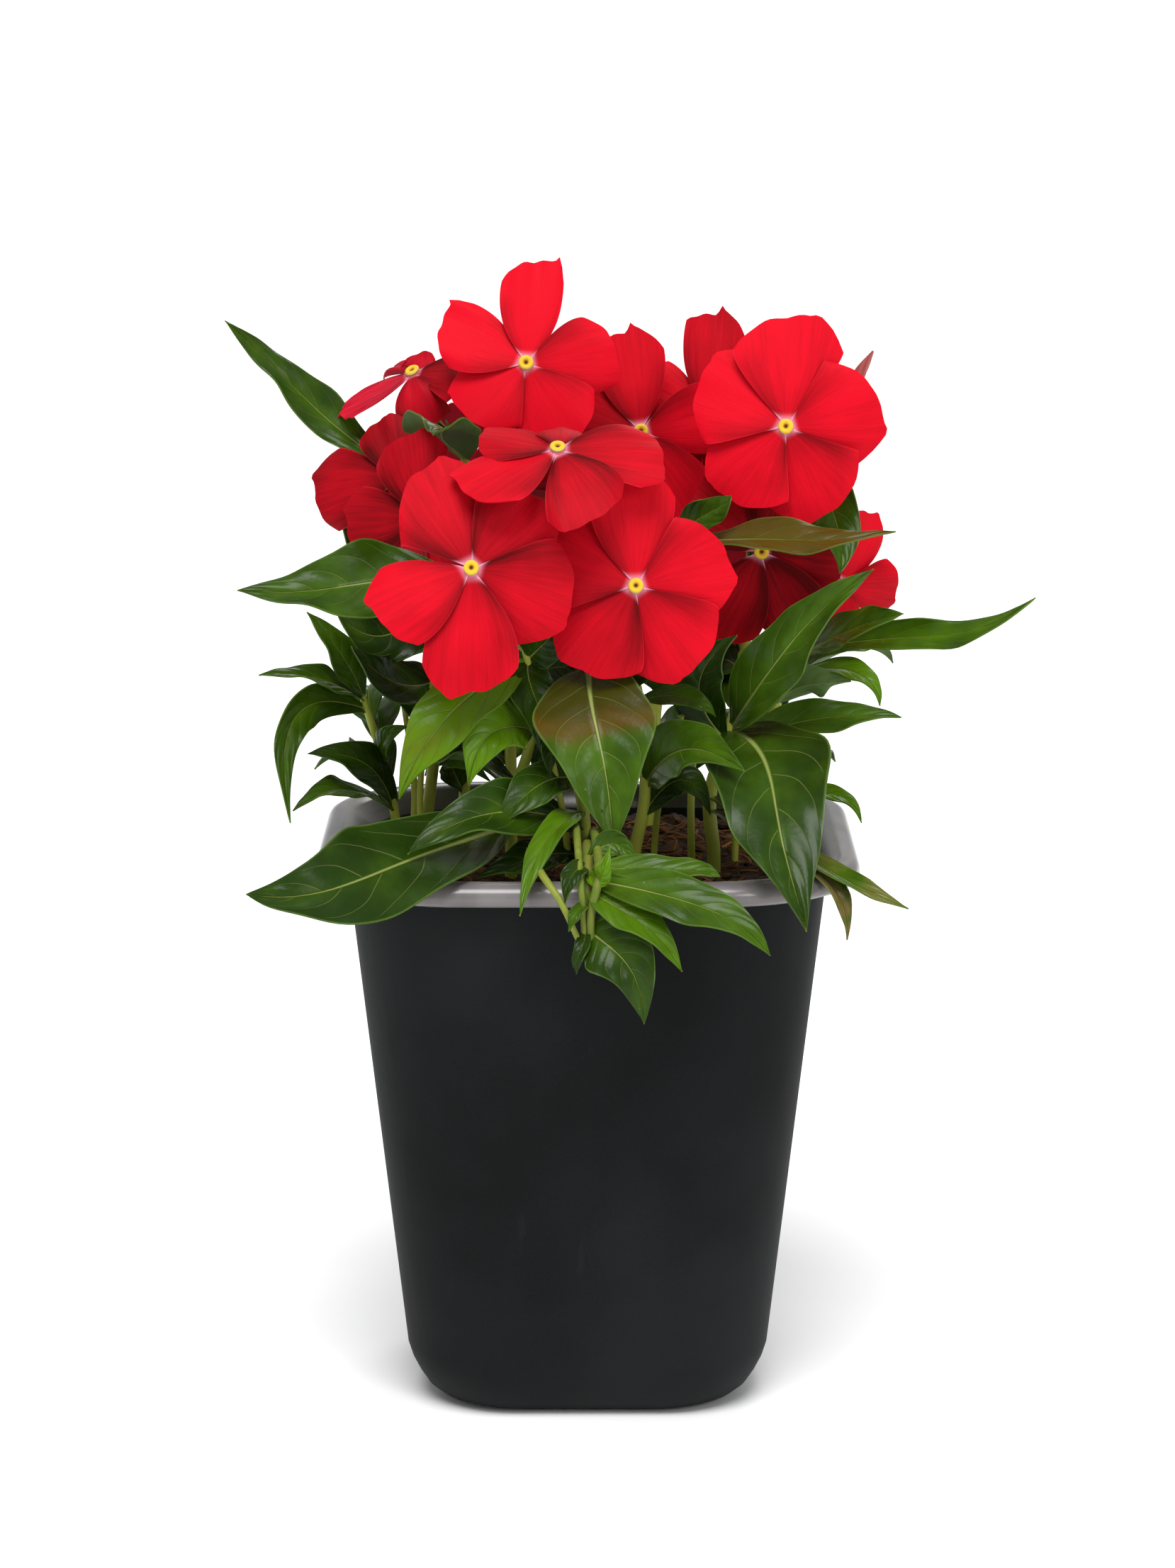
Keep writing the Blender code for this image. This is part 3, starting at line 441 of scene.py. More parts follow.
leafLook = {
    "dark": (0.0105, 0.029, 0.0016),
    "bright": (0.094, 0.205, 0.003),
    "bronze": (0.036, 0.034, 0.002),
    "flush": (0.090, 0.032, 0.004),
    "withered": (0.16, 0.10, 0.035),
    "vein": (0.25, 0.30, 0.075),
    "margin": (0.11, 0.19, 0.03),
    "underside": (0.10, 0.165, 0.055),
    "speck": (0.30, 0.33, 0.16),
    "sideVeins": 6.0,
    "veinArch": 0.9,
    "veinShift": 0.45,  # how far one half's veins lie ahead of the other's
    "thickness": 0.45,
    "stalk": 0.9,
    "swell": 0.022,  # of the fields between the veins, by the leaf's breadth
    "groove": 0.25,
    "cup": 0.22,
    "frill": 0.22,
    "sway": 0.8,
    "edgeWave": 0.06,
    "along": 36,
    "across": 16,
}
stemLook = {
    "green": (0.33, 0.38, 0.045),
    "dark": (0.07, 0.12, 0.012),
    "blush": (0.24, 0.07, 0.035),
    "foot": 133.8,  # of the stem, in its hole in the mix
    "mouth": 145.5,  # of that hole
    "taper": (1.0, 1.0, 0.85, 0.7),
    "slenderTaper": (1.0, 0.9, 0.7),
    "twigRadii": (1.6, 1.6, 1.5, 1.3, 1.2),
    "slenderSteps": 20,
    "twigSteps": 30,
}


def veinPhase(along, side, shift, seed):
    # whole numbers lie on the side veins, which arch towards the tip as they near the margin
    return along * leafLook["sideVeins"] - side - leafLook["veinArch"] * side**3 + shift + 5 * seed


def leafFinish(name, under):
    finish = Finish(name, Specular_IOR_Level=0.15)
    along, across = finish.bladePlace()
    light, bronze, withered, seed = finish.tones()
    side = abs(2 * across - 1)
    fromRib = side * maths("SINE", along * math.pi)
    midrib = 1 - finish.fade(fromRib + 0.02 * along, 0.018, 0.048)
    shift = maths("GREATER_THAN", across, 0.5) * leafLook["veinShift"]
    line = maths("PINGPONG", veinPhase(along, side, shift, seed) + finish.grain(60, 1) * 0.35, 0.5)
    branches = (1 - finish.fade(line, 0.006, 0.028)) * finish.fade(fromRib, 0.02, 0.1)
    branches = branches * (1 - finish.fade(side, 0.84, 0.95))
    mottle = finish.grain(90, 3)
    fine = finish.grain(900, 2)
    nearRib = (1 - finish.fade(fromRib, 0.0, 0.5)) * 0.1
    tint = finish.fade(light + nearRib + (mottle - 0.5) * 0.55, 0.0, 1.0)
    colour = finish.mix(tint, leafLook["dark"], leafLook["bright"])
    bronzed = bronze + (mottle - 0.5) * 0.6
    colour = finish.mix(finish.fade(bronzed, 0.1, 0.5) * 0.7, colour, leafLook["flush"])
    colour = finish.mix(finish.fade(bronzed, 0.5, 0.9), colour, leafLook["bronze"])
    colour = finish.mix(withered * finish.fade(mottle, 0.3, 0.6), colour, leafLook["withered"])
    if under:
        colour = finish.mix(0.62, colour, leafLook["underside"])
    colour = finish.mix(finish.fade(side, 0.95, 0.99) * 0.45, colour, leafLook["margin"])
    colour = finish.mix(branches * (0.4 if under else 0.32), colour, leafLook["vein"])
    colour = finish.mix(midrib * 0.8, colour, leafLook["vein"])
    colour = finish.mix(finish.fade(fine, 0.76, 0.8) * 0.4, colour, leafLook["speck"])
    # veins lie in grooves above and stand out below, and the fields between them swell
    ribs = branches * 0.5 + midrib * 0.9
    height = maths("SQRT", line) * 0.6 + ribs * (1 if under else -1) + mottle * 0.3
    finish.bump(height + fine * 0.12, 0.8, 0.0004)
    finish.set(Base_Color=colour, Roughness=(0.5 if under else 0.2) + mottle * 0.18)
    return finish.material


def stemFinish():
    finish = Finish("stemGreen", Specular_IOR_Level=0.25)
    light, blush = finish.tones()[:2]
    streak = finish.grain(500, 3, stretch=(1, 1, 0.12))
    colour = finish.mix(finish.fade(light + (streak - 0.5) * 0.5, 0, 1), stemLook["dark"], stemLook["green"])
    colour = finish.mix(blush * finish.fade(streak, 0.3, 0.7), colour, stemLook["blush"])
    finish.bump(streak, 0.4, 0.0002)
    finish.set(Base_Color=colour, Roughness=0.42 + streak * 0.1)
    return finish.material


# each kind of leaf: how light, how bronze and how withered it is
leafTones = {
    "dark": (0.12, 0, 0),
    "mid": (0.3, 0, 0),
    "fresh": (0.4, 0, 0),
    "light": (0.5, 0, 0),
    "bright": (0.78, 0, 0),
    "pale": (0.85, 0.22, 0),
    "bronze": (0.3, 1.0, 0),
    "olive": (0.35, 0.5, 0),
    "withered": (0.3, 0.2, 1.0),
    "tired": (0.5, 0.1, 0.45),
}

# leaves deep between the stems that have no solid of their own, as in the leaves' table
deepLeaves = {
    "left_a": [
        (225, (-56, -3, 214), (-70, -8, 222), 18, (0.2, -0.9, 0.4), 1.4, "dark"),
        (180, (-45, -1, 190), (-54, -7, 197), 12, (0, -0.9, 0.4), 1, "dark"),
    ],
    "left_b": [
        (165, (-37, 6, 178), (-27, -2, 172), 11, (0.2, -0.9, 0.5), 1, "mid"),
        (205, (-38, 4, 199), (-48, -2, 190), 17, (-0.2, -0.9, 0.4), 1.2, "dark"),
        (215, (-18, 6, 211), (-8, 0, 196), 18, (0.2, -0.9, 0.4), 1.2, "dark"),
    ],
    "front_left": [
        (186, (-14, -24, 197), (-14, -20, 184), 12, (0.2, -0.9, 0.4), 1, "dark"),
        (212, (-14, -45, 203), (-10, -48, 183), 13, (0.1, -0.95, 0.2), 1.2, "dark"),
        (213, (-11, -44, 219), (-5, -45, 227), 12, (0.1, -0.95, 0.2), 1, "dark"),
    ],
    "front_centre": [
        (("twig", 0.6), (4, -88, 164), (6, -85, 171), 5, (0.2, -0.9, 0.2), 0.6, "bright"),
        (("twig", 0.55), (-4, -85, 163), (-6, -88, 156), 6, (-0.2, -0.9, 0.4), 0.6, "dark"),
        (("twig", 0.8), (-3, -91, 154), (-5, -91, 149), 4, (-0.2, -0.8, 0.5), 0.5, "mid"),
        (("twig", 0.5), (8, -74, 169), (13, -76, 164), 7, (0.2, -0.9, 0.4), 0.8, "mid"),
        (("twig", 0.35), (6, -60, 171), (4, -68, 177), 6, (0, -0.9, 0.2), 0.6, "light"),
        (("twig", 0.9), (-2, -90, 143), (-3, -89, 137), 4, (-0.3, -0.9, 0.2), 0.5, "dark"),
        (200, (-9, -38, 194), (-15, -36, 180), 12, (-0.2, -0.9, 0.3), 1, "dark"),
        (160, (-15, -54, 161), (-30, -60, 157), 12, (0, -0.6, 0.8), 1, "dark"),
    ],
    "centre": [
        (205, (21, -8, 203), (32, -10, 192), 15, (0.3, -0.9, 0.4), 1.2, "dark"),
        (214, (-2, -2, 212), (-12, -4, 200), 16, (-0.2, -0.9, 0.4), 1.2, "dark"),
    ],
    "right": [
        (196, (41, -4, 204), (40, -6, 214), 9, (-0.4, -0.9, 0.2), 0.8, "mid"),
        (205, (34, 2, 204), (28, 0, 190), 15, (-0.3, -0.9, 0.4), 1.2, "dark"),
        (168, (60, -58, 160), (70, -66, 141), 9, (0.4, -0.7, 0.5), 1.6, "withered"),
    ],
    "right_back": [
        (178, (36, 12, 181), (26, 8, 170), 14, (-0.3, -0.9, 0.4), 1.2, "dark"),
        (192, (74, 26, 205), (88, 34, 200), 15, (0.5, 0.3, 0.8), 1.4, "mid"),
        (214, (50, 34, 226), (44, 46, 222), 14, (-0.2, 0.5, 0.8), 1.2, "light"),
        (168, (62, 30, 176), (72, 40, 170), 13, (0.4, 0.4, 0.8), 1.2, "dark"),
    ],
    "back_left": [
        (206, (-30, 54, 214), (-40, 62, 206), 16, (-0.3, 0.6, 0.7), 1.4, "mid"),
        (214, (-8, 54, 222), (0, 66, 216), 15, (0.2, 0.6, 0.7), 1.4, "light"),
        (226, (-26, 30, 236), (-34, 34, 232), 13, (-0.4, 0.2, 0.8), 1.2, "mid"),
        (160, (-36, 52, 168), (-48, 60, 162), 14, (-0.4, 0.5, 0.8), 1.2, "dark"),
    ],
    "back_right": [
        (208, (34, 56, 216), (42, 66, 208), 16, (0.3, 0.6, 0.7), 1.4, "mid"),
        (218, (8, 52, 228), (-2, 58, 224), 14, (-0.2, 0.6, 0.7), 1.2, "light"),
        (230, (32, 46, 240), (40, 52, 236), 12, (0.4, 0.4, 0.8), 1, "mid"),
        (160, (32, 54, 168), (42, 62, 160), 14, (0.3, 0.5, 0.8), 1.2, "dark"),
    ],
    "left_outer": [
        (186, (-62, 14, 196), (-66, 28, 190), 13, (-0.3, 0.4, 0.8), 1.2, "mid"),
        (170, (-66, 10, 178), (-78, 18, 172), 12, (-0.5, 0.3, 0.8), 1.2, "dark"),
    ],
}

# slender stems beside the stem that they belong to: their points, their radius and how light they are,
# painted lighter where they stand deep in shade and darker where they hang in front in the light
deepStems = {
    "left_a": [
        ([(-50, 7, 148), (-49, 6, 170), (-52, 2, 196)], 1.1, 1),
        ([(-47, 3, 148), (-47, 1, 172), (-43, -2, 204)], 1, 1),
    ],
    "front_centre": [
        ([(-5, -43, 148), (-6, -48, 168), (-10, -50, 190)], 1.1, 1),
        ([(3, -42, 148), (4, -46, 170), (2, -48, 196)], 1, 1),
        ([(-3, -46, 163), (-3, -62, 171), (-2, -83, 163), (-1, -86, 151), (-1, -85, 142)], 1.1, 0.35),
        ([(1, -47, 164), (2, -64, 170), (3, -84, 163), (1, -87, 153), (1, -85, 142)], 1.4, 0.25),
        ([(-13, -62, 160), (-12, -80, 162), (-7, -87, 156), (-2, -87, 145)], 1.1, 0.5),
    ],
    "centre": [
        ([(18, -22, 148), (20, -24, 172), (26, -30, 196)], 1, 1),
    ],
    "right": [
        ([(29, -18, 148), (29, -16, 176), (32, -12, 204)], 1.1, 1),
        ([(41, -14, 148), (42, -12, 176), (44, -10, 208)], 1, 1),
    ],
}


def stemPoints(stem):
    x, y, _ = stem["path"][0]
    return [(x, y, stemLook["foot"]), (x, y, stemLook["mouth"])] + stem["path"]


def placeOn(stem, where):
    if where == "end":
        return Vector(stem["path"][-1])
    if isinstance(where, tuple):
        return through(stem["twig"], where[1])
    points = stemPoints(stem)
    low, high = 0.0, 1.0
    # halved until the stem's place at this height is found
    for _ in range(24):
        middle = (low + high) / 2
        if through(points, middle).z < where:
            low = middle
        else:
            high = middle
    return through(points, low)


def leafBreadth(u):
    # a leaf's breadth along it, as a share of its greatest
    if not 0.0 < u < 1.0:
        return 0.0
    return 1.06 * math.sin(math.pi * u**0.8) ** 0.95 * (1 - 0.28 * u * u)


def leafSurface(base, via, tip, breadth, face, wave, phase, seed):
    base, via, tip, face = Vector(base), Vector(via), Vector(tip), Vector(face)
    control = 2 * via - (base + tip) / 2
    sway = leafLook["sway"] * wave * math.cos(phase)

    def surface(u, v):
        centre = (1 - u) ** 2 * base + 2 * u * (1 - u) * control + u * u * tip
        way = ((1 - u) * (control - base) + u * (tip - control)).normalized()
        side = way.cross(face).normalized()
        up = side.cross(way)
        centre += side * (sway * math.sin(2 * math.pi * u))
        right = 1.0 if v > 0 else 0.0
        half = max(leafBreadth(u) * breadth / 2, leafLook["stalk"] * (1 - u))
        half *= 1 + leafLook["edgeWave"] * math.sin(2 * math.pi * 2.3 * u + phase + 1.2 * right)
        s = abs(v)
        middle = math.sin(math.pi * u)
        ripple = wave * math.sin(2 * math.pi * 1.6 * u + phase + 1.9 * right) * middle
        frill = leafLook["frill"] * wave * math.sin(2 * math.pi * 4.3 * u + 2 * phase + 0.8 * right)
        frill *= s**3 * middle
        # the blade swells between its side veins, and the midrib lies in a groove
        vein = veinPhase(u, s, leafLook["veinShift"] if v < 0 else 0.0, seed)
        swell = leafLook["swell"] * breadth * abs(math.sin(math.pi * vein)) ** 0.7 * s * (1 - s) * 4
        swell *= middle**0.5 if 0 < u < 1 else 0
        groove = -leafLook["groove"] * math.exp(-((s * half / 0.7) ** 2))
        cup = leafLook["cup"] * s * half * (0.35 + 0.65 * s)
        return centre + side * (v * half) + up * (cup + ripple * v * v + frill + swell + groove)

    return surface


def makeLeaf(blank, base, shape, phase, look, rng):
    seed = rng.random()
    light, bronze, withered = leafTones[look]
    light += rng.uniform(-0.07, 0.07)

    def tone(u, v):
        # a bronze leaf is bronze near its foot and green towards its tip
        share = 1.0 - min(max((u - 0.3) / 0.28, 0.0), 1.0) if look == "bronze" else bronze
        return (light, share, withered, seed)

    return shapedCopy(blank, "leaf", leafSurface(base, *shape, phase, seed), tone)


def sideLeaf(base, direction, length):
    # the middle, the tip and the upper face of a leaf that grows outwards, a little raised
    way = Vector((math.cos(math.radians(direction)), math.sin(math.radians(direction)), 0.0))
    up = Vector((0.0, 0.0, 1.0))
    via = base + way * 0.52 * length + up * 0.2 * length
    tip = base + way * 0.95 * length + up * 0.02 * length
    return via, tip, way * 0.35 + up


tubeLook = {
    "radii": (1.1, 1.0, 1.9, 1.7, 1.1, 1.1, 1.35),
    "straight": 18.0,  # length behind the bloom that doesn't bend
    "behindEye": 2.8,
    "underBud": 0.3,
    "calyx": 0.36,  # where the lobes stand, by share of its length
    "lobes": 5,
    "lobeLength": 4.5,
    "lobeBreadth": 1.7,
    "lobeAway": (1.3, 2.1, 3.0),  # from the tube's middle, at its foot, half way and tip
    "lobeAlong": 6,
    "lobeAcross": 2,
    "steps": 18,
}


def tubeEnd(flower):
    # where the tube of a bloom or bud ends, and the way that it points there
    if "eye" in flower:
        way = Vector(flower["faces"]).normalized()
        return Vector(flower["eye"]) - way * tubeLook["behindEye"], way
    base = Vector(flower["base"])
    way = (Vector(flower["tip"]) - base).normalized()
    return base - way * tubeLook["underBud"], way


def makeTube(flower, stemGreen, lobeBlank, rng):
    end, way = tubeEnd(flower)
    stemName, height = flower["tube"]
    root = placeOn(stems[stemName], height)
    bend = end - way * min(0.62 * (root - end).length, tubeLook["straight"])
    middle = root.lerp(bend, 0.55) + (bend - end.lerp(root, 0.5)) * 0.15
    route = [root, middle, bend, end]
    radii, steps = tubeLook["radii"], tubeLook["steps"]
    tube = roundBar("tube", route, radii, stemGreen, steps, lambda t: (0.75 - 0.3 * t, 0.65 * t, 0, 0))
    # slender green lobes stand round the foot of the tube
    foot, ahead = through(route, tubeLook["calyx"]), through(route, tubeLook["calyx"] + 0.2)
    along = (ahead - foot).normalized()
    out = along.orthogonal().normalized()
    count, lobes = tubeLook["lobes"], []
    for k in range(count):
        turn = Matrix.Rotation(2 * math.pi * (k + rng.uniform(-0.1, 0.1)) / count, 3, along)
        away = turn @ out
        length = tubeLook["lobeLength"] * rng.uniform(0.85, 1.15)
        places = zip((0.0, 0.5 * length, length), tubeLook["lobeAway"])
        base, via, tip = (foot + along * rise + away * gap for rise, gap in places)
        surface = leafSurface(base, via, tip, tubeLook["lobeBreadth"], away, 0.0, 0.0, 0.0)
        lobes.append(shapedCopy(lobeBlank, "lobe", surface, lambda u, v: (0.55, 0.1, 0, 0)))
    return tube, lobes


def makeLeafyStem(name, blank, lobeBlank, stemGreen):
    stem = stems[name]
    points = stemPoints(stem)
    radii = [stem["radius"] * share for share in stemLook["taper"]]
    bars = [roundBar("stem", points, radii, stemGreen, 8 * len(points), lambda t: (1.0, 0.08, 0, 0))]
    for route, radius, light in deepStems.get(name, ()):
        radii, steps = [radius * share for share in stemLook["slenderTaper"]], stemLook["slenderSteps"]
        bars.append(roundBar("slender", route, radii, stemGreen, steps, lambda t: (light, 0.1, 0, 0)))
    if "twig" in stem:
        twig, radii, steps = stem["twig"], stemLook["twigRadii"], stemLook["twigSteps"]
        bars.append(roundBar("twig", twig, radii, stemGreen, steps, lambda t: (0.5 - 0.3 * t, 0.3, 0, 0)))
    phases, looks = random.Random(name), random.Random(name + "look")
    blades = []
    for table, draws in ((leaves, phases), (deepLeaves, looks)):
        for where, *shape, look in table.get(name, ()):
            phase = draws.uniform(0, 2 * math.pi)
            blades.append(makeLeaf(blank, placeOn(stem, where), shape, phase, look, looks))
    for height, direction, length, breadth in sideLeaves.get(name, ()):
        base = placeOn(stem, height)
        via, tip, face = sideLeaf(base, direction, length)
        shape = (via, tip, breadth, face, phases.uniform(0.8, 1.8))
        phase = phases.uniform(0, 2 * math.pi)
        look = looks.choice(("dark", "mid", "light"))
        blades.append(makeLeaf(blank, base, shape, phase, look, looks))
    for flower in (*blooms.values(), *buds.values()):
        if flower["tube"][0] == name:
            tube, lobes = makeTube(flower, stemGreen, lobeBlank, looks)
            bars.append(tube)
            blades.extend(lobes)
    foliage = joined(blades, name + "Foliage")
    modified(foliage, "SOLIDIFY", thickness=leafLook["thickness"] * mm, offset=0.0, material_offset=1)
    piece = joined([foliage] + bars, name + "Fine")
    smoothed(piece, 45)
    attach(piece, "root")
    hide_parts(name)


leafTop = leafFinish("leafTop", False)
leafUnder = leafFinish("leafUnder", True)
stemGreen = stemFinish()
leafBlank = flatBlank("leafBlank", leafLook["along"], leafLook["across"], (leafTop, leafUnder))
lobeBlank = flatBlank("lobeBlank", tubeLook["lobeAlong"], tubeLook["lobeAcross"], (leafTop, leafUnder))
for name in stems:
    makeLeafyStem(name, leafBlank, lobeBlank, stemGreen)
print("leafy stems made:", len(stems))

petalLook = {
    "bright": (0.60, 0.0022, 0.0125),
    "deep": (0.085, 0.0003, 0.0014),
    # edge: a painted highlight along the petals' thin margins
    "edge": (0.68, 0.02, 0.035),
    "halo": (0.92, 0.38, 0.52),
    "underside": (0.52, 0.022, 0.055),
    "thickness": 0.35,
    "along": 22,
    "across": 20,
    "root": 1.1,  # radius that the petals start from
    "wedge": 0.85,  # how soon a petal reaches its full breadth
    "rise": 0.06,  # of the edge, up to the petal's point
    "drop": 0.2,  # of the edge, past the point
    "shoulder": 0.22,
    "corner": 0.45,  # where the point lies, from the middle at 0 to the side at 1
    "depth": 1.0,  # of the petals' roots, behind the eye
    "roll": 0.13,  # lean across, so that the petals overlap one way round
    "droop": 2.0,
    "point": 0.035,
    "pointBreadth": 0.06,
    "edgeWave": 0.008,
    "pleat": 0.16,
    "groove": 0.35,
    "grooveBreadth": 0.06,
    "shortening": 0.35,  # of a petal that bends, by how far its end bends
    "shade": 0.12,
    "neckRadii": (1.45, 2.1),
    "neckLength": 2.2,
    "neckDepth": 1.5,  # of the neck's middle, behind the eye
}


def petalFinish(name, under):
    finish = Finish(name, Specular_IOR_Level=0.06, Sheen_Weight=0.02, Sheen_Roughness=0.4)
    along, across = finish.bladePlace()
    shade, blush, _, seed = finish.tones()
    side = abs(2 * across - 1)
    # streaks run along the petal, so their grain is drawn out that way
    wide = finish.add("CombineXYZ", {}, {"X": along * 1.4, "Y": across * 17, "Z": seed * 40})
    thin = finish.add("CombineXYZ", {}, {"X": along * 3, "Y": across * 60, "Z": seed * 90})
    streak, fine = finish.grain(1.0, 3, vector=wide), finish.grain(1.0, 2, vector=thin)
    velvet = finish.grain(2600, 2)
    cloud = finish.grain(45, 2)
    # painted shade: each petal is painted darker along its sides, where the neighbouring petals overlap it,
    # and towards the eye. It is also painted darker on one side and lighter on the other, and shade is the
    # bloom's and petal's share of painted shade. The streaks, fine lines and clouds are the petal's own
    # veins and mottle.
    seamShade = finish.fade(side, 0.3, 1.0) * (1 - finish.fade(along, 0.4, 1.0)) * 0.36
    centre = (1 - finish.fade(along, 0.06, 0.5)) * 0.22
    crossShade = (across - 0.5) * (1 - finish.fade(along, 0.6, 1.0)) * 0.22
    dark = shade + seamShade + centre + crossShade + (streak - 0.5) * 0.5 + (fine - 0.5) * 0.36 + (cloud - 0.5) * 0.6
    colour = finish.mix(finish.limited(dark), petalLook["bright"], petalLook["deep"])
    if under:
        colour = finish.mix(0.55 + (fine - 0.5) * 0.5, colour, petalLook["underside"])
    colour = finish.mix(blush * finish.fade(fine, 0.3, 0.7), colour, petalLook["underside"])
    halo = 1 - finish.fade(along - 0.04 * side**6, 0.0, 0.12)
    colour = finish.mix(halo * halo * 0.95, colour, petalLook["halo"])
    # painted highlight: a thin lighter line along the petal's margin
    colour = finish.mix(finish.fade(side, 0.975, 0.995) * 0.3, colour, petalLook["edge"])
    finish.bump(streak * 0.6 + fine * 0.35 + velvet * 0.25, 0.35, 0.0004)
    finish.set(Base_Color=colour, Roughness=0.5 + velvet * 0.12)
    return finish.material


def bloomAxes(faces):
    # the way the bloom faces, the way its twelve o'clock points, and its right
    normal = Vector(faces).normalized()
    up = Vector((0.0, 0.0, 1.0))
    up = (up - normal * up.dot(normal)).normalized()
    return normal, up, up.cross(normal)


def petalList(bloom, rng):
    # each petal's clock angle, length and breadth
    if "petals" in bloom:
        return bloom["petals"]
    petals = []
    for k in range(5):
        angle = bloom["turn"] + 72 * k + rng.uniform(-4, 4)
        length = bloom["breadth"] / 2 * rng.uniform(0.94, 1.04)
        petals.append((angle, length, bloom["petal"] * rng.uniform(0.94, 1.06)))
    return petals


def petalSurface(eye, axes, petal, corner, ripple, phase, curl, crease):
    # curl is how far the petal's end bends down and crease how deep it wrinkles, in millimetres
    look = petalLook
    angle, length, breadth, *cut = petal
    shoulderDrop = cut[0] if cut else look["shoulder"]
    normal, up, right = axes
    turn = math.radians(angle)
    out = math.cos(turn) * up + math.sin(turn) * right
    sideways = -math.sin(turn) * up + math.cos(turn) * right
    reach = length - look["root"]

    def surface(u, v):
        # round as a circle about the eye, with a point clockwise of the middle and a lower edge past it
        past = max(v - corner, 0.0) / (1.0 - corner)
        shoulder = math.sqrt(max(1.0 - (v * breadth / 2 / length) ** 2, 0.2))
        shoulder += look["rise"] * min(max(v, 0.0) / corner, 1.0) - look["drop"] * past
        shoulder += 0.04 * math.sin(math.pi * past) - shoulderDrop * corner * abs(min(v, 0.0)) ** 2.2
        shoulder += look["point"] * math.exp(-(((v - corner) / look["pointBreadth"]) ** 2))
        shoulder += look["edgeWave"] * math.sin(11 * v + phase)
        r = look["root"] + reach * u * (1 + (shoulder - 1) * u)
        x = v * breadth / 2 * math.tanh(look["wedge"] * (look["root"] + reach * max(u, 0.0)) * 2 / breadth)
        x *= 1 - max(u, 0.0) ** 6 * (0.08 * max(-v, 0.0) ** 2 + 0.03 * past**2)
        z = -look["depth"] - look["droop"] * u * u - look["roll"] * x
        z += ripple * u * u * math.sin(3.2 * v + phase)
        z += look["pleat"] * u**3 * math.sin(9 * v + 2 * phase) - 0.5 * abs(v) ** 6 * u
        z -= look["groove"] * math.exp(-((v / look["grooveBreadth"]) ** 2)) * (1 - u) * u + curl * u**3
        z += crease * u * math.sin(7 * v + 5 * u + phase)
        r -= look["shortening"] * abs(curl) * u**3
        return eye + out * r + sideways * x + normal * z

    return surface


# how deep in shade a bloom is, if not as petalLook's
bloomShades = {
    "bloom_01": -0.05,
    "bloom_02": -0.08,
    "bloom_03": 0.26,
    "bloom_04": 0.1,
    "bloom_05": 0.28,
    "bloom_06": 0.24,
    "bloom_07": 0.26,
    "bloom_08": 0.45,
    "bloom_09": 0.5,
    "bloom_10": 0.5,
    "bloom_11": 0.68,
    "bloom_12": 0.1,
    "bloom_13": 0.7,
}

# single petals that lie in more shade, or in more light, than the rest of their bloom
petalShades = {
    "bloom_02": {2: 0.16, 3: 0.16},
    "bloom_03": {0: 0.1, 1: 0.06, 2: 0.06, 3: -0.12},
    "bloom_04": {2: 0.06, 3: 0.12},
    "bloom_05": {0: 0.2, 1: 0.16, 2: 0.14, 3: -0.18, 4: 0.1},
    "bloom_09": {0: 0.3, 4: 0.05},
    "bloom_10": {0: 0.05},
}

# petals that bend or wrinkle: how far the end bends down, how deep it wrinkles and how pink it is
petalCurls = {
    "bloom_05": {0: (2, 0, 0), 2: (2, 0, 0)},
    "bloom_08": {0: (-3, 0.3, 0.35), 2: (9, 0.5, 0.15), 3: (1.5, 1, 0.75), 4: (2, 0.6, 0.2)},
    "bloom_09": {4: (2.5, 0.2, 0)},
    "bloom_10": {3: (4, 0.3, 0.5)},
}

# petals that are wider than their solid's, by share, to close a gap beside them
petalWidths = {"bloom_01": {2: 1.3, 3: 1.35}}


def makeBloom(name, bloom, seed, blank, red):
    eye = Vector(bloom["eye"])
    axes = bloomAxes(bloom["faces"])
    normal, up, right = axes
    rng = random.Random(seed)
    shade, corner = bloomShades.get(name, petalLook["shade"]), bloom.get("corner", petalLook["corner"])
    shades, curls, widths = (table.get(name, {}) for table in (petalShades, petalCurls, petalWidths))
    blades = []
    for k, (angle, length, breadth, *cut) in enumerate(petalList(bloom, rng)):
        ripple, phase = rng.uniform(0.4, 1.0), rng.uniform(0, 2 * math.pi)
        curl, crease, blush = curls.get(k, (0.0, 0.0, 0.0))
        petal = (angle, length, breadth * widths.get(k, 1.0), *cut)
        surface = petalSurface(eye, axes, petal, corner, ripple, phase, curl, crease)
        petalShade = shade + 0.1 * math.sin(5 * phase) + shades.get(k, 0.0)
        tint = (petalShade, blush, 0, (seed * 5 + k) / (5 * len(blooms)))
        blades.append(shapedCopy(blank, "petal", surface, lambda u, v: tint))
    petals = joined(blades, name + "Petals")
    modified(petals, "SOLIDIFY", thickness=petalLook["thickness"] * mm, offset=0.0, material_offset=1)
    # the short funnel that the petals stand on
    turned = Matrix((right, up, normal)).transposed().to_4x4()
    foot, mouth = petalLook["neckRadii"]
    sizes = {"radius1": foot * mm, "radius2": mouth * mm, "depth": petalLook["neckLength"] * mm}
    neck = added(bpy.ops.mesh.primitive_cone_add, vertices=20, **sizes)
    neck.data.transform(Matrix.Translation((eye - normal * petalLook["neckDepth"]) * mm) @ turned)
    neck.data.materials.append(red)
    paint(neck.data, [0.3, 0, 0, 0.5] * len(neck.data.vertices))
    piece = joined([petals, neck], name + "Fine")
    smoothed(piece, 45)
    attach(piece, "root")
    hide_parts(name)
    return turned


petalTop = petalFinish("petalTop", False)
petalUnder = petalFinish("petalUnder", True)
petalBlank = flatBlank("petalBlank", petalLook["along"], petalLook["across"], (petalTop, petalUnder))

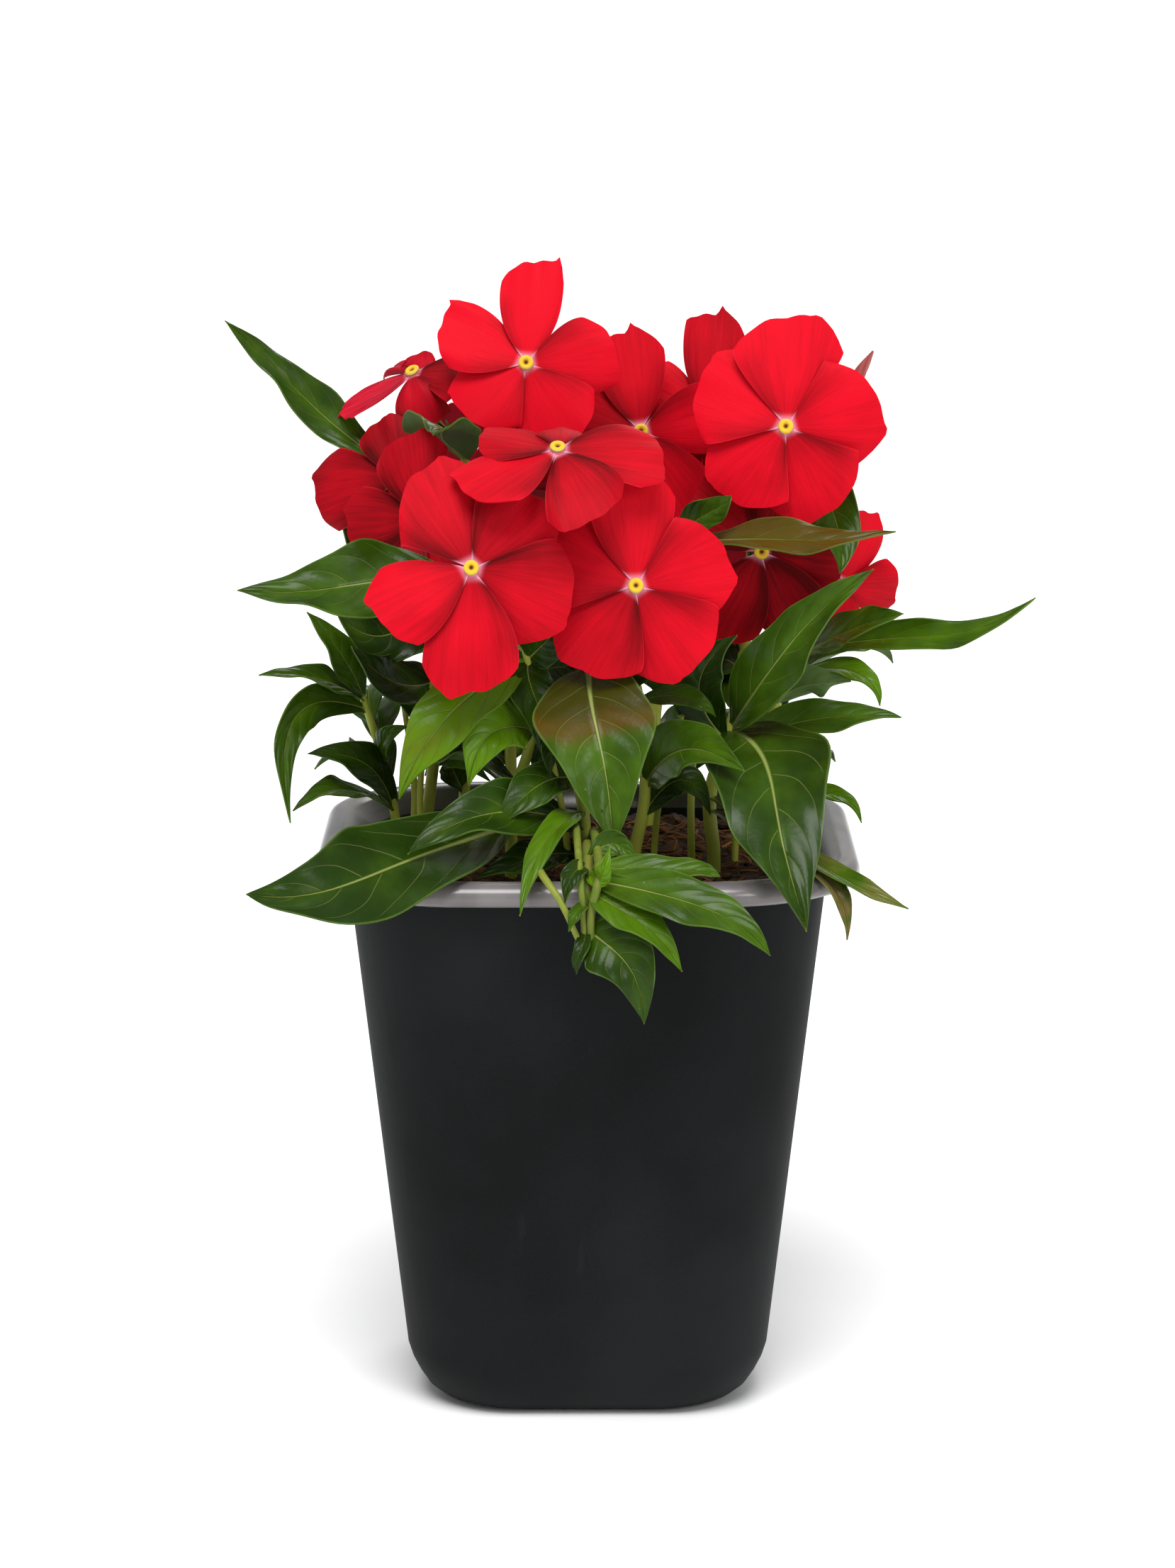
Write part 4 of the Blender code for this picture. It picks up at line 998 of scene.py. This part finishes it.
eyeLook = {
    "yellow": (0.70, 0.45, 0.025),
    "lime": (0.62, 0.55, 0.10),
    "orange": (0.38, 0.14, 0.008),
    # the pore's colour is painted shade where the tube opens, in the eye's shallow dip
    "poreShade": (0.035, 0.018, 0.004),
    "reach": 2.2,  # from its middle to where its colour would end
    # radius and height of its rings, from the seat over the rim and down into the pore
    "rings": (
        (2.0, 0.1), (2.1, 0.35), (2.0, 0.7), (1.7, 0.95), (1.3, 1.0), (0.9, 0.8), (0.55, 0.45), (0.3, 0.2),
    ),
}


def eyeFinish():
    finish = Finish("eyeYellow", Specular_IOR_Level=0.2)
    share = finish.tones()[0]
    speckle = finish.grain(1800, 2)
    rim = finish.fade(share + (speckle - 0.5) * 0.1, 0.78, 0.95)
    colour = finish.mix(rim, eyeLook["yellow"], eyeLook["lime"])
    colour = finish.mix(1 - finish.fade(share, 0.2, 0.45), colour, eyeLook["orange"])
    # painted shade: the middle of the eye is painted near black where the tube opens
    colour = finish.mix(1 - finish.fade(share, 0.15, 0.22), colour, eyeLook["poreShade"])
    finish.bump(speckle, 0.3, 0.0002)
    finish.set(Base_Color=colour, Roughness=0.5 + speckle * 0.1)
    return finish.material


def makeEyeBlank(finish):
    # a disc whose rim is inset ring by ring
    rings = eyeLook["rings"]
    radius = rings[0][0] * mm
    blank = added(bpy.ops.mesh.primitive_circle_add, vertices=24, radius=radius, fill_type="NGON")
    editAll()
    stackRings(rings)
    bpy.ops.object.mode_set(mode="OBJECT")
    blank.name = "eyeBlank"
    tones = []
    for corner in blank.data.vertices:
        tones.extend((math.hypot(corner.co.x, corner.co.y) / (eyeLook["reach"] * mm), 0, 0, 0))
    paint(blank.data, tones)
    blank.data.materials.append(finish)
    return blank


def makeEye(name, eye, turned, blank):
    mesh = blank.data.copy()
    mesh.transform(Matrix.Translation(Vector(eye) * mm) @ turned)
    piece = linked(name.replace("bloom", "eye") + "Fine", mesh)
    smoothed(piece, 60)
    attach(piece, "root")
    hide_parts(name.replace("bloom", "eye"))


eyeBlank = makeEyeBlank(eyeFinish())
for seed, (name, bloom) in enumerate(blooms.items()):
    turned = makeBloom(name, bloom, seed, petalBlank, petalTop)
    makeEye(name, bloom["eye"], turned, eyeBlank)
print("blooms made:", len(blooms))

budLook = {
    "pink": (0.42, 0.10, 0.085),
    "green": (0.22, 0.30, 0.07),
    # crease: painted shade in the grooves between the folds
    "crease": (0.16, 0.02, 0.03),
    "profile": (0.6, 0.85, 1.0, 0.98, 0.8, 0.5, 0.15),
    "folds": 5,
    "twist": 2.4,
    "slices": 14,
}


def budFinish():
    finish = Finish("budPink", Roughness=0.45, Specular_IOR_Level=0.35)
    along, fold = finish.tones()[:2]
    grain = finish.grain(700, 3)
    ripe = finish.fade(along + (grain - 0.5) * 0.3, 0.1, 0.55)
    colour = finish.mix(ripe, budLook["green"], budLook["pink"])
    # painted shade: darker in the grooves between the bud's folds
    colour = finish.mix((1 - fold) * 0.5, colour, budLook["crease"])
    finish.bump(grain, 0.3, 0.0002)
    finish.set(Base_Color=colour)
    return finish.material


def makeBud(name, bud, finish):
    base, tip = Vector(bud["base"]), Vector(bud["tip"])
    way = (tip - base).normalized()
    out = way.orthogonal().normalized()
    other = way.cross(out)
    slices = budLook["slices"]
    piece = added(bpy.ops.mesh.primitive_cylinder_add, vertices=30, radius=1.0, depth=1.0)
    editAll()
    for k in range(1, slices):
        bpy.ops.mesh.bisect(plane_co=(0, 0, k / slices - 0.5), plane_no=(0, 0, 1))
        bpy.ops.mesh.select_all(action="SELECT")
    bpy.ops.object.mode_set(mode="OBJECT")
    tones = []
    for corner in piece.data.vertices:
        t = corner.co.z + 0.5
        angle = math.atan2(corner.co.y, corner.co.x)
        fold = 0.5 + 0.5 * math.cos(budLook["folds"] * (angle + budLook["twist"] * t))
        radius = bud["radius"] * between(budLook["profile"], t) * (0.86 + 0.14 * fold**0.5)
        place = base + way * (tip - base).length * t
        corner.co = (place + radius * (math.cos(angle) * out + math.sin(angle) * other)) * mm
        tones.extend((t, fold, 0, 0))
    paint(piece.data, tones)
    piece.name = name + "Fine"
    piece.data.materials.append(finish)
    smoothed(piece, 50)
    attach(piece, "root")
    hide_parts(name)


budPink = budFinish()
for name, bud in buds.items():
    makeBud(name, bud, budPink)
print("buds made:", len(buds))

for blank in (leafBlank, lobeBlank, petalBlank, eyeBlank):
    bpy.data.objects.remove(blank)

potLook = {
    "body": (0.0040, 0.0043, 0.0046),
    "sheen": (0.0100, 0.0115, 0.0120),
    "lip": (0.076, 0.066, 0.070),
    "lipPale": (0.165, 0.150, 0.150),
    "lipInner": (0.062, 0.058, 0.042),
    "scuff": (0.035, 0.038, 0.040),
    "colourBreak": 151.4,
    "innerLip": (69.1, 70.2),  # half-widths between which the lip's colour turns to its inner side's
    "rimHalf": 75.0,
    "rimCorner": 41.0,
    # half-width and height of its rings, from the base up the outside, over the lip and down inside
    "rings": (
        (38.5, 0.0), (40.0, 0.5), (42.5, 1.6), (45.3, 4.2), (47.6, 8.0), (49.5, 12.0), (50.7, 16.0),
        (58.4, 84.0), (66.0, 151.2), (67.0, 151.5), (71.6, 151.5), (73.2, 151.55), (74.3, 152.0),
        (74.9, 153.0), (75.0, 154.2), (74.7, 155.6), (73.9, 156.8), (72.6, 157.6), (71.0, 157.95),
        (69.4, 157.9), (68.1, 157.5), (67.0, 156.6), (63.1, 151.0), (62.6, 149.0), (48.0, 15.0), (37.5, 3.0),
    ),
    "drainOffset": 24.0,
    "drainRadius": 4.0,
    "drainDepth": 12.0,
}


def potFinish():
    finish = Finish("potPlastic", Specular_IOR_Level=0.09, Coat_Roughness=0.22, Coat_IOR=1.45)
    x, y, z = finish.split(finish.add("TexCoord", {}, {}, "Object"))
    grain, cloud = finish.grain(1500, 3), finish.grain(14, 3)
    scuff = finish.grain(120, 4, stretch=(1, 1, 0.25))
    # the half-width of the rounded square that a place lies on
    straight = (potLook["rimHalf"] - potLook["rimCorner"]) * mm
    pastX, pastY = (maths("MAXIMUM", abs(way) - straight, 0.0) for way in (x, y))
    across = (pastX**2 + pastY**2) ** 0.5 + straight
    isLip = finish.fade(z, potLook["colourBreak"] * mm, (potLook["colourBreak"] + 0.25) * mm)
    body = finish.mix(finish.fade(cloud + grain * 0.2, 0.4, 0.8), potLook["body"], potLook["sheen"])
    body = finish.mix(finish.fade(scuff, 0.64, 0.82) * 0.2, body, potLook["scuff"])
    lip = finish.mix(finish.fade(cloud + (scuff - 0.5) * 0.5, 0.3, 0.7), potLook["lip"], potLook["lipPale"])
    inner, outer = potLook["innerLip"]
    lip = finish.mix(1 - finish.fade(across, inner * mm, outer * mm), lip, potLook["lipInner"])
    finish.bump(grain * 0.5 + scuff * 0.2, 0.25, 0.0003)
    rough = 0.52 - isLip * 0.22 + grain * 0.1 + scuff * 0.12
    finish.set(Base_Color=finish.mix(isLip, body, lip), Roughness=rough, Coat_Weight=isLip * 0.9)
    return finish.material


def makePot():
    rings = potLook["rings"]
    pot = added(bpy.ops.mesh.primitive_plane_add, size=2 * potLook["rimHalf"] * mm)
    editAll()
    bpy.ops.mesh.bevel(offset=potLook["rimCorner"] * mm, segments=14, affect="VERTICES")
    bpy.ops.mesh.select_all(action="SELECT")
    resizeAll(rings[0][0] / potLook["rimHalf"])
    stackRings(rings)
    turnOutwards()
    bpy.ops.object.mode_set(mode="OBJECT")
    pot.name = "potFine"
    radius, depth, offset = (potLook[key] * mm for key in ("drainRadius", "drainDepth", "drainOffset"))
    sizes = {"vertices": 20, "radius": radius, "depth": depth}
    for x in (-offset, offset):
        for y in (-offset, offset):
            drain = added(bpy.ops.mesh.primitive_cylinder_add, location=(x, y, 0), **sizes)
            modified(pot, "BOOLEAN", object=drain, operation="DIFFERENCE")
            bpy.data.objects.remove(drain)
    pot.data.materials.append(potFinish())
    smoothed(pot, 40)
    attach(pot, "root")
    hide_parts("pot")


makePot()
print("pot made")

soilLook = {
    "black": (0.012, 0.006, 0.003),
    "brown": (0.055, 0.026, 0.011),
    "russet": (0.11, 0.045, 0.015),
    "straw": (0.26, 0.115, 0.032),
    "level": 149.5,
    "edge": 147.9,
    "dome": 2.5,
    "domeReach": 60.0,
    "half": 62.2,
    "corner": 28.5,
    "foot": 0.76,  # breadth at the pot's floor, as a share of the top's
    "depth": 134.0,
    "sinkFrom": 0.93,  # share of the half-width past which the mix sinks to its edge
    "sinkBreadth": 0.07,
    "steps": 110,
    "chips": 260,
    "strands": 300,
    "scatterSeed": 4,
    "scatterReach": 56.0,
    "scatterCorner": 1.62,  # how far out the two places may add up to, as a share of the reach
    "stemClear": 4.5,
    "lift": 0.5,  # of a loose piece's middle
}


def soilHeight(x, y):
    def lump(size, layer):
        return noise.noise(Vector((x / size, y / size, layer)))

    dome = soilLook["dome"] * max(0.0, 1.0 - (x * x + y * y) / soilLook["domeReach"] ** 2)
    lumps = lump(9.0, 3.7) + 0.6 * lump(4.0, 9.1)
    crumbs = 0.55 * lump(1.7, 5.3) + 0.3 * lump(0.8, 2.2)
    return soilLook["level"] + dome + 2.0 * lumps + crumbs


def soilFinish():
    finish = Finish("bark", Specular_IOR_Level=0.2)
    straw = finish.tones()[0]
    crumb, patch = finish.grain(420, 4), finish.grain(110, 3)
    colour = finish.mix(finish.fade(crumb, 0.35, 0.68), soilLook["black"], soilLook["brown"])
    colour = finish.mix(finish.fade(patch, 0.55, 0.7) * 0.5, colour, soilLook["russet"])
    colour = finish.mix(straw, colour, soilLook["straw"])
    finish.bump(crumb + patch * 0.5, 0.7, 0.0012)
    finish.set(Base_Color=colour, Roughness=0.85 + crumb * 0.1)
    return finish.material


def onSoil(rng, reach):
    # a place on the mix, away from its corners and clear of the stems
    feet = [stem["path"][0] for stem in stems.values()]
    while True:
        x, y = rng.uniform(-reach, reach), rng.uniform(-reach, reach)
        clear = all(math.hypot(x - foot[0], y - foot[1]) > soilLook["stemClear"] for foot in feet)
        if abs(x) + abs(y) < soilLook["scatterCorner"] * reach and clear:
            return x, y, soilHeight(x, y)


def scatteredMix(bark):
    rng = random.Random(soilLook["scatterSeed"])
    # a chip of bark and a strand of coir, each modelled once at unit size and copied
    chip = added(bpy.ops.mesh.primitive_cube_add, size=1.0)
    modified(chip, "BEVEL", width=0.14, segments=1)
    chip.data.materials.append(bark)
    curve = [Vector(p) / mm for p in ((-0.5, 0, 0), (-0.2, 0.06, 0.03), (0.15, -0.05, 0.05), (0.5, 0.03, 0))]
    radii = [0.02 / mm, 0.03 / mm, 0.02 / mm]
    strand = roundBar("strand", curve, radii, bark, 7, lambda t: (1, 0, 0, 0), sides=1)
    pieces = []
    for blank, count in ((chip, soilLook["chips"]), (strand, soilLook["strands"])):
        for _ in range(count):
            x, y, z = onSoil(rng, soilLook["scatterReach"])
            turn = Euler((rng.uniform(-0.35, 0.35), rng.uniform(-0.35, 0.35), rng.uniform(0, 6.3)))
            if blank is chip:
                size = (rng.uniform(2.0, 5.5), rng.uniform(1.2, 3.0), rng.uniform(0.5, 1.2))
                tone = rng.uniform(0.0, 0.7) ** 2
            else:
                size = [rng.uniform(6.0, 15.0)] * 3
                tone = rng.uniform(0.25, 1.0)
            mesh = blank.data.copy()
            place = Vector((x, y, z + soilLook["lift"])) * mm
            mesh.transform(Matrix.LocRotScale(place, turn, Vector(size) * mm))
            paint(mesh, [tone, 0, 0, 0] * len(mesh.vertices))
            pieces.append(linked(blank.name, mesh))
    bpy.data.objects.remove(chip)
    bpy.data.objects.remove(strand)
    return pieces


def onRoundedSquare(a, b, half, corner):
    # where a place on a square from -1 to 1 comes to lie in the pot's rounded square
    reach = max(abs(a), abs(b))
    if reach == 0:
        return 0.0, 0.0
    edgeX, edgeY = a / reach * half, b / reach * half
    overX, overY = abs(edgeX) - (half - corner), abs(edgeY) - (half - corner)
    if overX <= 0 or overY <= 0:
        return a * half, b * half
    shrink = corner / max(math.hypot(overX, overY), corner)
    cornerX = math.copysign(half - corner + overX * shrink, edgeX)
    cornerY = math.copysign(half - corner + overY * shrink, edgeY)
    return cornerX * reach, cornerY * reach


def makeSoil():
    bark = soilFinish()
    steps = soilLook["steps"]
    top = added(bpy.ops.mesh.primitive_grid_add, x_subdivisions=steps, y_subdivisions=steps, size=2.0)
    for point in top.data.vertices:
        reach = max(abs(point.co.x), abs(point.co.y))
        x, y = onRoundedSquare(point.co.x, point.co.y, soilLook["half"], soilLook["corner"])
        z = soilHeight(x, y)
        sink = max(0.0, (reach - soilLook["sinkFrom"]) / soilLook["sinkBreadth"])
        z += (soilLook["edge"] - z) * sink
        point.co = Vector((x, y, z)) * mm
    bpy.ops.object.mode_set(mode="EDIT")
    bpy.ops.mesh.select_mode(type="EDGE")
    bpy.ops.mesh.select_all(action="DESELECT")
    bpy.ops.mesh.select_non_manifold()
    bpy.ops.mesh.extrude_edges_move(TRANSFORM_OT_translate={"value": (0, 0, -soilLook["depth"] * mm)})
    resizeAll(soilLook["foot"])
    bpy.ops.mesh.edge_face_add()
    turnOutwards()
    bpy.ops.object.mode_set(mode="OBJECT")
    paint(top.data, [0.0, 0, 0, 0] * len(top.data.vertices))
    top.data.materials.append(bark)
    piece = joined([top] + scatteredMix(bark), "soilFine")
    smoothed(piece, 60)
    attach(piece, "root")
    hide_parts("soil")


makeSoil()
print("potting mix made")

# the studio is laid out in metres
studio = {
    "floor": (0.93, 0.93, 0.93, 1.0),
    "floorSize": 60.0,
    "floorLevel": -0.0002,
    "camera": (0.0, -1.3, 0.424),
    "aim": (0.0, 0.0, 0.171),
    "lens": 108.0,
    "world": 0.48,
    "skyFrom": (-0.05, -0.6, 1.0),
    "skyStrength": 3.0,
    "skySpread": 32.0,
    # place, aim, size and power in watts of each soft light
    "lights": (
        ((0.9, -1.6, 0.9), (0, 0, 0.12), 0.5, 7.0),
        ((0.3, 1.3, 1.3), (0, 0, 0.2), 0.8, 8.0),
    ),
}


def aimed(name, data, place, aim):
    obj = linked(name, data)
    obj.location = place
    obj.rotation_euler = (Vector(aim) - obj.location).to_track_quat("-Z", "Y").to_euler()
    return obj


def makeStudio():
    scene = bpy.context.scene
    place = (0, 0, studio["floorLevel"])
    floor = added(bpy.ops.mesh.primitive_plane_add, size=studio["floorSize"], location=place)
    floor.name = "floor"
    finish = Finish("paleFloor", Base_Color=studio["floor"], Roughness=0.7, Specular_IOR_Level=0.1)
    floor.data.materials.append(finish.material)
    for k, (place, aim, size, power) in enumerate(studio["lights"]):
        lamp = bpy.data.lights.new(f"softLight{k}", "AREA")
        lamp.size = size
        lamp.energy = power
        aimed(lamp.name, lamp, place, aim)
    sky = bpy.data.lights.new("skyLight", "SUN")
    sky.energy = studio["skyStrength"]
    sky.angle = math.radians(studio["skySpread"])
    aimed(sky.name, sky, studio["skyFrom"], (0, 0, 0))
    scene.world = bpy.data.worlds.new("studio")
    scene.world.use_nodes = True
    tree = scene.world.node_tree
    background = tree.nodes["Background"].inputs
    background["Color"].default_value = (1, 1, 1, 1)
    # white where the camera looks past the floor, and softer as light
    ray = addNode(tree, "LightPath", {}, {}, "Is Camera Ray")
    strength = addNode(tree, "MapRange", {}, {"Value": ray, "To Min": studio["world"]})
    connect(tree, background["Strength"], strength)
    scene.view_settings.view_transform = "Standard"
    lens = bpy.data.cameras.new("camera")
    lens.lens = studio["lens"]
    scene.camera = aimed("camera", lens, studio["camera"], studio["aim"])


makeStudio()
print("studio made")
